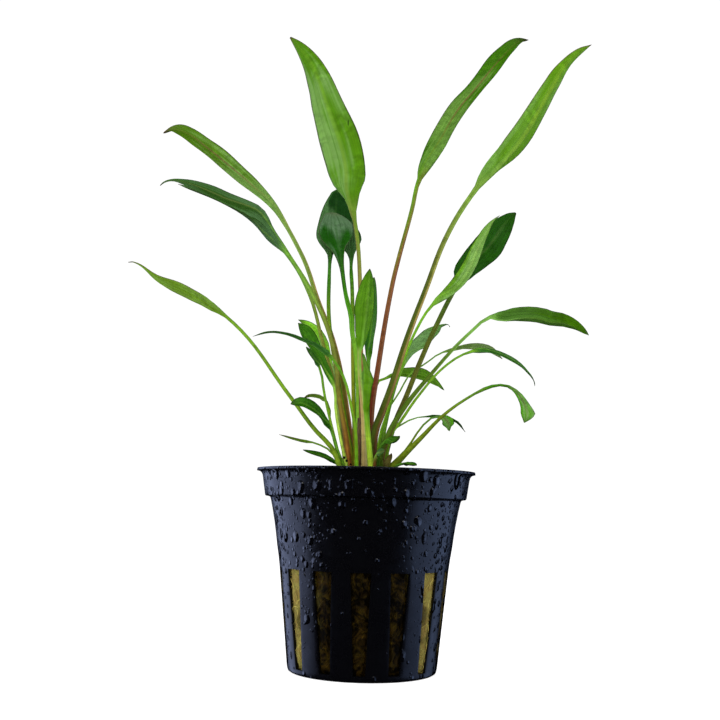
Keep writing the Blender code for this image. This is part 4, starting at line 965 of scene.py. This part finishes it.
def slot_half_angle(height):
    """Half the angle that a slot takes up, narrowing towards the base."""
    share = min(max((height - SLOT_FOOT) / (SLOT_TOP - SLOT_FOOT), 0.0), 1.0)
    return SLOT_FOOT_ANGLE + share * (SLOT_TOP_ANGLE - SLOT_FOOT_ANGLE)


def sector_angle(angle):
    """An angle round the pot measured from the middle of the nearest slot."""
    pitch = 2 * math.pi / SLOT_COUNT
    return (angle - FRONT_SLOT + pitch / 2) % pitch - pitch / 2


def narrow_slots(piece):
    """Moves the columns of faces so that the slots' sides lean in towards the base."""
    pitch = 2 * math.pi / SLOT_COUNT
    even = SLOT_COLUMNS * pitch / SECTOR_COLUMNS
    for vertex in piece.data.vertices:
        x, y, z = vertex.co
        angle = math.atan2(y, x)
        local = sector_angle(angle)
        half = slot_half_angle(z / MM)
        if abs(local) <= even:
            moved = local * half / even
        else:
            rest = (abs(local) - even) / (pitch / 2 - even)
            moved = math.copysign(half + rest * (pitch / 2 - half), local)
        radius = math.hypot(x, y)
        turned = angle + moved - local
        vertex.co = (radius * math.cos(turned), radius * math.sin(turned), z)


def in_slot(face):
    """Whether a face lies where a slot or a drain opens."""
    x, y, z = (value / MM for value in face.center)
    radius = math.hypot(x, y)
    angle = math.atan2(y, x)
    pitch = 2 * math.pi / SLOT_COUNT
    if abs(sector_angle(angle)) > SLOT_COLUMNS * pitch / SECTOR_COLUMNS:
        return False
    if SLOT_FOOT < z < SLOT_TOP:
        return True
    number = round((angle - FRONT_SLOT) / pitch)
    return z < SLOT_FOOT / 4 and DRAIN_START < radius < DRAIN_END and number % 2 == 0


class CRYPT_OT_pot(bpy.types.Operator):
    """Makes the slotted black pot with its collar and lip"""

    bl_idname = "cryptocoryne.pot"
    bl_label = "Pot"

    def execute(self, context):
        settings = context.scene.pot_settings
        step = (SLOT_TOP - SLOT_FOOT) / SLOT_RINGS
        foot, top = BASE_RINGS[-1][0], SHOULDER_RINGS[0][0]
        walls = [(foot + (top - foot) * n / SLOT_RINGS, SLOT_FOOT + step * n)
                 for n in range(1, SLOT_RINGS)]
        rings = [*BASE_RINGS, *walls, *SHOULDER_RINGS]
        deselect()
        bpy.ops.mesh.primitive_circle_add(vertices=SLOT_COUNT * SECTOR_COLUMNS, radius=rings[0][0] * MM,
                                          fill_type="NGON", rotation=(0, 0, FRONT_SLOT))
        pot = added("pot_shell")
        edit(pot, "EDGE")
        bpy.ops.mesh.select_all(action="SELECT")
        rise(rings)
        bpy.ops.mesh.select_all(action="SELECT")
        bpy.ops.mesh.remove_doubles(threshold=MERGE_GAP * MM)
        bpy.ops.mesh.normals_make_consistent(inside=False)
        leave_edit()
        base = min(pot.data.polygons, key=lambda face: face.center.length)
        if base.normal.z > 0:
            edit(pot, "FACE")
            bpy.ops.mesh.select_all(action="SELECT")
            bpy.ops.mesh.flip_normals()
            leave_edit()

        edit_where(pot, "FACE", in_slot)
        bpy.ops.mesh.delete(type="FACE")
        leave_edit()
        narrow_slots(pot)

        wall = pot.modifiers.new("wall", "SOLIDIFY")
        wall.thickness = settings.wall
        wall.offset = -1.0
        wall.use_even_offset = True
        apply_modifier(pot, wall)
        edge = pot.modifiers.new("edge", "BEVEL")
        edge.width = settings.edge
        edge.segments = 2
        edge.limit_method = "ANGLE"
        edge.angle_limit = math.radians(SHARP_ANGLE)
        edge.use_clamp_overlap = True
        apply_modifier(pot, edge)
        smooth(pot, SHARP_ANGLE)
        settle(pot, "pot", plastic_material())
        return {"FINISHED"}


def wool_radius(height):
    """The plug's radius at a height: a little inside the pot's wall, and round at its foot."""
    rings = [BASE_RINGS[-1], *SHOULDER_RINGS]
    radius = rings[0][0]
    for (low_radius, low), (high_radius, high) in zip(rings, rings[1:]):
        if low <= height <= high:
            radius = low_radius + (high_radius - low_radius) * (height - low) / (high - low)
            break
    settings = bpy.context.scene.wool_settings
    inner = radius - (bpy.context.scene.pot_settings.wall + settings.gap) / MM
    foot = max(0.0, 1.0 - (height - WOOL_LOW.z / MM) / WOOL_FOOT)
    return inner - WOOL_FOOT_ROUNDING * foot ** 2


def wool_reach(place):
    """How far from the middle the wool comes, in millimetres, with its bulges into the slots."""
    height = place.z / MM
    aside = abs(sector_angle(math.atan2(place.y, place.x))) / slot_half_angle(height)
    ends = min(height - SLOT_FOOT, SLOT_TOP - height) / BULGE_RISE
    share = min(max(min(BULGE_FULLNESS * (1.0 - aside), ends), 0.0), 1.0)
    return wool_radius(height) + share * bpy.context.scene.wool_settings.bulge / MM


class CRYPT_OT_rock_wool(bpy.types.Operator):
    """Makes the plug of rock wool with its loose fibres"""

    bl_idname = "cryptocoryne.rock_wool"
    bl_label = "Rock Wool"

    def execute(self, context):
        settings = context.scene.wool_settings
        deselect()
        low, high = WOOL_LOW.z, WOOL_HIGH.z
        bpy.ops.mesh.primitive_cylinder_add(vertices=WOOL_COLUMNS, radius=1.0, depth=high - low,
                                            location=(0, 0, (low + high) / 2), end_fill_type="NGON")
        wool = added("wool_plug")
        cut_rows(wool, WOOL_ROWS)
        for vertex in wool.data.vertices:
            x, y, z = vertex.co
            radius = wool_reach(vertex.co) * MM
            vertex.co = (x * radius, y * radius, z)
        edit_where(wool, "FACE", lambda face: abs(face.normal.z) > 0.9)
        for _ in range(WOOL_CAP_RINGS):
            bpy.ops.mesh.inset(thickness=WOOL_CAP_STEP * MM)
        leave_edit()
        self.swell(wool, settings.lumps)
        smooth(wool)
        if settings.fibres:
            self.scatter(wool, settings)
        settle(wool, "rock_wool", wool_material())
        return {"FINISHED"}

    def swell(self, wool, reach):
        """Sinks the surface in soft lumps and fine pits, never past the plug's own form."""
        normals = [vertex.normal.copy() for vertex in wool.data.vertices]
        for vertex, normal in zip(wool.data.vertices, normals):
            sink = max((layered_noise(vertex.co / MM, WOOL_LUMPS) + 1.0) / 2, 0.0)
            vertex.co -= normal * reach * sink * (1.0 + min(normal.z, 0.0))

    def scatter(self, wool, settings):
        """Lays loose fibres over the surface and joins them to the plug."""
        draw = random.Random(FIBRE_SEED)
        count = settings.fibres
        faces = [face for face in wool.data.polygons if face.area > 0]
        sizes = [face.area for face in faces]
        corners, sides, tints = [], [], []
        for face in draw.choices(faces, weights=sizes, k=count):
            start = face.center + face.normal * draw.uniform(*FIBRE_START) * MM
            drawn = self.fibre(draw, start, face.normal, settings.fibre_length)
            base = len(corners)
            corners += drawn
            tints += [draw.uniform(*FIBRE_BRIGHTNESS)] * len(drawn)
            for ring in range(FIBRE_STEPS):
                first = base + ring * FIBRE_SIDES
                for side in range(FIBRE_SIDES):
                    a, b = first + side, first + (side + 1) % FIBRE_SIDES
                    sides.append((a, b, b + FIBRE_SIDES, a + FIBRE_SIDES))
            sides.append(tuple(reversed(range(base, base + FIBRE_SIDES))))
            sides.append(tuple(range(len(corners) - FIBRE_SIDES, len(corners))))
        mesh = bpy.data.meshes.new("wool_fibres")
        mesh.from_pydata(corners, [], sides)
        mesh.shade_smooth()
        tint = mesh.attributes.new("thread", "FLOAT_VECTOR", "POINT")
        for item, value in zip(tint.data, tints):
            item.vector = (value, 0.0, 0.0)
        fibres = bpy.data.objects.new("wool_fibres", mesh)
        bpy.context.scene.collection.objects.link(fibres)
        deselect()
        fibres.select_set(True)
        wool.select_set(True)
        bpy.context.view_layer.objects.active = wool
        bpy.ops.object.join()

    def fibre(self, draw, start, normal, length):
        """The corners of one fibre: a thin bent thread that stays close to the surface."""
        across = normal.orthogonal().normalized()
        across.rotate(Matrix.Rotation(draw.uniform(0, 2 * math.pi), 3, normal))
        bend = draw.uniform(*FIBRE_BEND)
        rise_by = draw.uniform(*FIBRE_RISE)
        reach = length * draw.uniform(*FIBRE_LENGTHS) / FIBRE_STEPS
        thick = draw.uniform(*FIBRE_THICKNESS) * MM
        place = start.copy()
        corners = []
        for number in range(FIBRE_STEPS + 1):
            side = across.cross(normal).normalized()
            taper = thick * (1.0 - FIBRE_TAPER * abs(number / FIBRE_STEPS - 0.5))
            for spoke in range(FIBRE_SIDES):
                angle = 2 * math.pi * spoke / FIBRE_SIDES
                corners.append(place + (side * math.cos(angle) + normal * math.sin(angle)) * taper)
            across.rotate(Matrix.Rotation(bend, 3, normal))
            place += (across + normal * rise_by).normalized() * reach
            inward = Vector((place.x, place.y, 0))
            place.z = min(max(place.z, WOOL_LOW.z), WOOL_HIGH.z)
            limit = (wool_reach(place) + FIBRE_ROOM) * MM
            if inward.length > limit:
                place -= inward.normalized() * (inward.length - limit)
        return corners


class CRYPT_OT_crown(bpy.types.Operator):
    """Makes the low crown that the leaves grow from"""

    bl_idname = "cryptocoryne.crown"
    bl_label = "Crown"

    def execute(self, context):
        deselect()
        centre = (CROWN_LOW + CROWN_HIGH) / 2
        half = (CROWN_HIGH - CROWN_LOW) / 2
        bpy.ops.mesh.primitive_uv_sphere_add(segments=CROWN_SEGMENTS, ring_count=CROWN_RINGS, radius=1.0)
        crown = added("plant_crown")
        for vertex in crown.data.vertices:
            direction = vertex.co.normalized()
            x, y, z = direction
            place = Vector((x, y, math.copysign(abs(z) ** CROWN_FLATNESS, z)))
            place *= 1.0 - CROWN_ROUGHNESS * (1.0 - layered_noise(direction, CROWN_LUMPS))
            vertex.co = place * half + centre
        smooth(crown)
        settle(crown, "crown", crown_material())
        return {"FINISHED"}


def directions(points):
    """The direction of the smooth curve at each of its points."""
    result = []
    for number, point in enumerate(points):
        before = points[number - 1] if number else 2 * point - points[1]
        after = points[number + 1] if number + 1 < len(points) else 2 * point - points[-2]
        result.append(((point - before).normalized() + (after - point).normalized()).normalized())
    return result


def smooth_route(route):
    """A smooth curve through the route's points, as a fine line, and the length at each point."""
    points = [Vector(point) for point in route]
    heads = directions(points)
    line = [points[0]]
    marks = [0.0]
    for start, end, out, into in zip(points, points[1:], heads, heads[1:]):
        reach = (end - start).length * HANDLE
        piece = geometry.interpolate_bezier(start, start + out * reach, end - into * reach, end,
                                            CURVE_STEPS + 1)
        length = marks[-1]
        for a, b in zip(piece, piece[1:]):
            length += (b - a).length
            line.append(b)
        marks.append(length)
    return line, marks


def point_along(line, length):
    """The point and the direction at a length along a line."""
    for a, b in zip(line, line[1:]):
        step = (b - a).length
        if length <= step:
            return a.lerp(b, length / step), (b - a).normalized()
        length -= step
    return line[-1].copy(), (line[-1] - line[-2]).normalized()


def blade_side(direction, turn):
    """The direction across a blade: level, then rolled about the midrib by turn degrees."""
    level = direction.cross(Vector((0, 0, 1))).normalized()
    up = level.cross(direction)
    angle = math.radians(turn)
    return level * math.cos(angle) + up * math.sin(angle)


def smooth_between(points, place):
    """Reads a smooth curve through points, each a place followed by its values."""
    slopes = []
    for number, point in enumerate(points):
        before = points[max(number - 1, 0)]
        after = points[min(number + 1, len(points) - 1)]
        slopes.append([(b - a) / (after[0] - before[0]) for a, b in zip(before[1:], after[1:])])
    for number, (start, end) in enumerate(zip(points, points[1:])):
        if place <= end[0]:
            break
    gap = end[0] - start[0]
    t = (place - start[0]) / gap
    rise_part, out_part, in_part = 3 * t ** 2 - 2 * t ** 3, t * (1 - t) ** 2, t ** 2 * (t - 1)
    return [a + (b - a) * rise_part + gap * (out * out_part + into * in_part)
            for a, b, out, into in zip(start[1:], end[1:], slopes[number], slopes[number + 1])]


def blade_halves(leaf, share):
    """How far each half of a blade reaches at a share of its length."""
    if leaf.outline:
        return [max(half, LEAST_HALF) for half in smooth_between(leaf.outline, share)]
    foot, tip = leaf.fullness
    widest = foot / (foot + tip)
    outline = (share / widest) ** foot * ((1 - share) / (1 - widest)) ** tip
    half = math.hypot(leaf.width * outline, leaf.stalk[1] * (1 - share)) / 2
    return [half, half]


# One row of a leaf: where it is, which way it runs, how far its halves reach, how far it has
# flattened, its share of the blade (below 0 in the stalk), its length from the crown and to the tip.
Row = namedtuple("Row", "place direction side halves thin share length left")


def leaf_rows(leaf):
    """Every row of a leaf, from its foot in the crown to its tip."""
    line, marks = smooth_route(leaf.route)
    foot, whole = marks[leaf.foot], marks[-1]
    reach = whole - foot
    blade_count = max(LEAST_BLADE_ROWS, round(reach / BLADE_ROW))
    stalk_count = max(LEAST_STALK_ROWS, round(foot / STALK_ROW))
    blade = []
    for number in range(blade_count):
        share = math.sin(math.pi / 2 * number / (blade_count - 1)) * BLADE_END
        place, direction = point_along(line, foot + share * reach)
        side = blade_side(direction, leaf.turn + leaf.twist * share)
        blade.append(Row(place, direction, side, blade_halves(leaf, share), min(share / BLADE_SPREAD, 1.0),
                         share, foot + share * reach, (1 - share) * reach))
    stalk = []
    side = blade[0].side
    for number in range(stalk_count - 1, -1, -1):
        share = number / stalk_count
        place, direction = point_along(line, share * foot)
        if number == 0:
            direction = Vector((0, 0, 1))
            place.z -= FOOT_DEPTH
        side = (side - direction * side.dot(direction)).normalized()
        width = leaf.stalk[1] + (leaf.stalk[0] - leaf.stalk[1]) * (1 - share) ** 2
        swell = 1 + SHEATH_SWELL * math.exp(-share * foot / SHEATH_REACH)
        half = width * swell / 2
        stalk.append(Row(place, direction, side, (half, half), 0.0, share - 1, share * foot,
                         whole - share * foot))
    return [*reversed(stalk), *blade]


def leaf_corner(leaf, row, corner, wave, phase):
    """A corner of a row: round in the stalk, thin and folded in the blade, with a rib below."""
    angle = 2 * math.pi * corner / LEAF_CORNERS
    flat = 1 - 2 * angle / math.pi if angle <= math.pi else 2 * angle / math.pi - 3
    across = math.cos(angle) * (1 - row.thin) + flat * row.thin
    half = sum(row.halves) / 2
    upper = math.sin(angle) > 1e-6
    lower = math.sin(angle) < -1e-6
    middle = across * row.halves[across > 0]

    groove = STALK_GROOVE_DEPTH * half * math.exp(-(across / STALK_GROOVE_HALF_WIDTH) ** 2)
    stalk = 2 * STALK_HALF_THICKNESS * half * math.sin(angle) - (groove if upper else 0.0)

    fade = math.sqrt(max(0.0, 1 - abs(across) ** 3))
    thickness = BLADE_HALF_THICKNESS * fade * min(1.0, half)
    lift = half * math.tan(math.radians(leaf.fold)) * (math.sqrt(across ** 2 + FOLD_ROUNDING) - 0.5)
    rib = RIB_HEIGHT * (1 - max(row.share, 0)) * math.exp(-(middle / RIB_HALF_WIDTH) ** 2)
    swing = 2 * math.pi * row.length / WAVE_LENGTH + (phase if across > 0 else OTHER_PHASE * phase + 1)
    ripple = wave * math.sin(swing) * across ** 2 * min(half / WAVY_HALF, 1.0)
    blade = lift + ripple
    if upper:
        blade += thickness - GROOVE_DEPTH * math.exp(-(middle / GROOVE_HALF_WIDTH) ** 2)
    if lower:
        blade -= thickness + rib
    height = stalk * (1 - row.thin) + blade * row.thin
    return across, middle, height


def grow_leaf(leaf, number):
    """A whole leaf with its stalk, ring by ring along its route."""
    rows = leaf_rows(leaf)
    deselect()
    bpy.ops.mesh.primitive_cylinder_add(vertices=LEAF_CORNERS, radius=1.0, depth=len(rows) - 1,
                                        location=(0, 0, (len(rows) - 1) / 2), end_fill_type="NGON")
    piece = added(leaf.name.replace("leaf_", "") + "_leaf")
    piece.data.name = piece.name
    cut_rows(piece, len(rows) - 2)

    mesh = piece.data
    wave = bpy.context.scene.leaf_settings.wave / MM
    phase = number * PHASE_STEP
    front = 1.0 if blade_front(rows) else -1.0
    for name in ("leaf", "span"):
        mesh.attributes.new(name, "FLOAT_VECTOR", "POINT")
    on_leaf, span = mesh.attributes["leaf"].data, mesh.attributes["span"].data
    tip = set()
    for vertex in mesh.vertices:
        row = rows[min(max(round(vertex.co.z), 0), len(rows) - 1)]
        corner = round(math.atan2(vertex.co.y, vertex.co.x) / (2 * math.pi) * LEAF_CORNERS) % LEAF_CORNERS
        across, middle, height = leaf_corner(leaf, row, corner, wave, phase)
        up = row.side.cross(row.direction)
        margin = (1 - abs(across)) * row.halves[across > 0] + (1 - row.thin) * STALK_MARGIN
        face = math.sin(2 * math.pi * corner / LEAF_CORNERS)
        on_leaf[vertex.index].vector = (across, row.share, face * front)
        span[vertex.index].vector = (margin, middle, row.left)
        vertex.co = (row.place + row.side * middle + up * height) * MM
        if row is rows[-1]:
            tip.add(vertex.index)

    edit_where(piece, "VERT", lambda vertex: vertex.index in tip)
    bpy.ops.mesh.merge(type="CENTER")
    bpy.ops.mesh.select_all(action="SELECT")
    bpy.ops.mesh.normals_make_consistent(inside=False)
    leave_edit()
    smooth(piece)
    return piece


def blade_front(rows):
    """Whether the blade's upper face looks towards the front."""
    row = rows[-len(rows) // 4]
    return row.side.cross(row.direction).y < 0


class CRYPT_OT_leaves(bpy.types.Operator):
    """Makes every leaf with its stalk, and the small bract"""

    bl_idname = "cryptocoryne.leaves"
    bl_label = "Leaves"

    def execute(self, context):
        for number, leaf in enumerate(LEAVES):
            piece = grow_leaf(leaf, number)
            settle(piece, leaf.name, leaf_material(leaf, number))
        return {"FINISHED"}


class CRYPT_OT_cut_stub(bpy.types.Operator):
    """Makes the brown end of a leaf that was cut off"""

    bl_idname = "cryptocoryne.cut_stub"
    bl_label = "Cut Stub"

    def execute(self, context):
        low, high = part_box("cut_stub")
        deselect()
        radius = (high.x - low.x) * STUB_WIDTH / 2
        bpy.ops.mesh.primitive_cylinder_add(vertices=STUB_CORNERS, radius=radius, depth=high.z - low.z,
                                            location=(low + high) / 2)
        stub = added("stub_end")
        smooth(stub, SHARP_ANGLE)
        settle(stub, "cut_stub", stub_material())
        return {"FINISHED"}


def floor_material():
    """Plain white floor that stays out of the pot's reflections."""
    material, nodes, shader = new_material("pale floor")
    shader.inputs["Base Color"].default_value = (0.9, 0.9, 0.9, 1.0)
    shader.inputs["Roughness"].default_value = 1.0
    shader.inputs["Specular IOR Level"].default_value = 0.0
    shader.inputs["Emission Color"].default_value = (1.0, 1.0, 1.0, 1.0)
    seen = nodes.add("ShaderNodeLightPath").outputs["Is Camera Ray"]
    nodes.feed(shader.inputs["Emission Strength"], nodes.times(seen, 0.75))
    return material


def softbox(name, azimuth, distance, height, size, brightness, colour=WHITE, shine=True, fill=True):
    """A rectangular soft light that faces the plant; azimuth 0 is the front and 90 the right.

    One without shine gives no highlight, and one without fill gives only highlights.
    """
    light = bpy.data.lights.new(name, "AREA")
    light.shape = "RECTANGLE"
    light.size, light.size_y = size
    light.energy = brightness * math.pi * size[0] * size[1]
    light.color = colour
    item = bpy.data.objects.new(name, light)
    turn = math.radians(azimuth)
    item.location = (distance * math.sin(turn), -distance * math.cos(turn), height)
    look = Vector((0, 0, LIGHT_TARGET)) - item.location
    item.rotation_euler = look.to_track_quat("-Z", "Y").to_euler()
    item.visible_glossy = shine
    item.visible_diffuse = fill
    bpy.context.scene.collection.objects.link(item)
    return item


class CRYPT_OT_stage(bpy.types.Operator):
    """Makes the pale floor, the soft studio light and the camera"""

    bl_idname = "cryptocoryne.stage"
    bl_label = "Stage"

    def execute(self, context):
        settings = context.scene.stage_settings
        self.floor(settings)
        self.surroundings(context.scene)
        softbox("left softbox", -112, 0.5, 0.1, (0.7, 0.7), 1.5, COOL_LIGHT, fill=False)
        softbox("right softbox", 98, 0.5, 0.06, (0.7, 0.7), 1.0, COOLER_LIGHT, fill=False)
        softbox("left strip", -62, 0.42, 0.5, (0.07, 0.45), 7.0, COOL_LIGHT, fill=False)
        softbox("right strip", 58, 0.42, 0.5, (0.07, 0.45), 7.0, COOL_LIGHT, fill=False)
        softbox("top softbox", 0, 0.35, 0.7, (0.5, 0.35), 2.4)
        softbox("front fill", -12, 0.8, 0.2, (0.8, 0.6), 2.9, shine=False)
        softbox("left fill", -75, 0.6, 0.1, (0.5, 0.5), 2.2, shine=False)
        softbox("right fill", 75, 0.6, 0.1, (0.5, 0.5), 2.2, shine=False)
        self.camera(context.scene, settings)
        context.scene.view_settings.view_transform = "Standard"
        return {"FINISHED"}

    def floor(self, settings):
        deselect()
        bpy.ops.mesh.primitive_circle_add(vertices=FLOOR_CORNERS, radius=settings.floor,
                                          fill_type="NGON", location=(0, 0, POT_LOW.z - FLOOR_GAP * MM))
        floor = bpy.context.object
        floor.name = "floor"
        floor.data.materials.append(floor_material())
        floor.visible_glossy = False
        floor.visible_shadow = False

    def surroundings(self, scene):
        """White behind the object, and a dim even light from all round."""
        world = bpy.data.worlds.new("studio")
        world.use_nodes = True
        nodes = Nodes(world.node_tree)
        background = world.node_tree.nodes["Background"]
        seen = nodes.add("ShaderNodeLightPath").outputs["Is Camera Ray"]
        nodes.feed(background.inputs["Color"], nodes.mix(seen, ROOM_LIGHT, WHITE))
        background.inputs["Strength"].default_value = ROOM_STRENGTH
        world.cycles_visibility.glossy = False
        scene.world = world

    def camera(self, scene, settings):
        data = bpy.data.cameras.new("camera")
        data.sensor_width = 36.0
        data.lens = settings.lens
        data.clip_start = 0.005
        data.clip_end = 20.0
        camera = bpy.data.objects.new("camera", data)
        place = Matrix.Translation((settings.eye_shift, -settings.distance, settings.eye_height))
        aim = Matrix.Rotation(math.pi / 2 + settings.pitch, 4, "X")
        camera.matrix_world = place @ aim @ Matrix.Rotation(settings.roll, 4, "Z")
        scene.collection.objects.link(camera)
        scene.camera = camera


class CRYPT_PT_panel(bpy.types.Panel):
    """Lists the plant's pieces and their sizes"""

    bl_idname = "CRYPT_PT_panel"
    bl_label = "Potted Cryptocoryne"
    bl_space_type = "VIEW_3D"
    bl_region_type = "UI"
    bl_category = "Cryptocoryne"

    def draw(self, context):
        for name, kind, operators in SETTINGS:
            box = self.layout.box()
            for prop in kind.__annotations__:
                box.prop(getattr(context.scene, name), prop)
            for operator in operators:
                box.operator(operator.bl_idname)


SETTINGS = (
    ("pot_settings", PotSettings, (CRYPT_OT_pot,)),
    ("wool_settings", WoolSettings, (CRYPT_OT_rock_wool, CRYPT_OT_crown)),
    ("leaf_settings", LeafSettings, (CRYPT_OT_leaves, CRYPT_OT_cut_stub)),
    ("stage_settings", StageSettings, (CRYPT_OT_stage,)),
)


def register():
    for name, kind, operators in SETTINGS:
        for item in (kind, *operators):
            bpy.utils.register_class(item)
        setattr(bpy.types.Scene, name, PointerProperty(type=kind))
    bpy.utils.register_class(CRYPT_PT_panel)


def unregister():
    bpy.utils.unregister_class(CRYPT_PT_panel)
    for name, kind, operators in reversed(SETTINGS):
        delattr(bpy.types.Scene, name)
        for item in (*operators, kind):
            bpy.utils.unregister_class(item)


def main():
    register()
    bpy.ops.cryptocoryne.pot()
    bpy.ops.cryptocoryne.rock_wool()
    bpy.ops.cryptocoryne.crown()
    bpy.ops.cryptocoryne.leaves()
    bpy.ops.cryptocoryne.cut_stub()
    bpy.ops.cryptocoryne.stage()


if __name__ == "__main__":
    main()
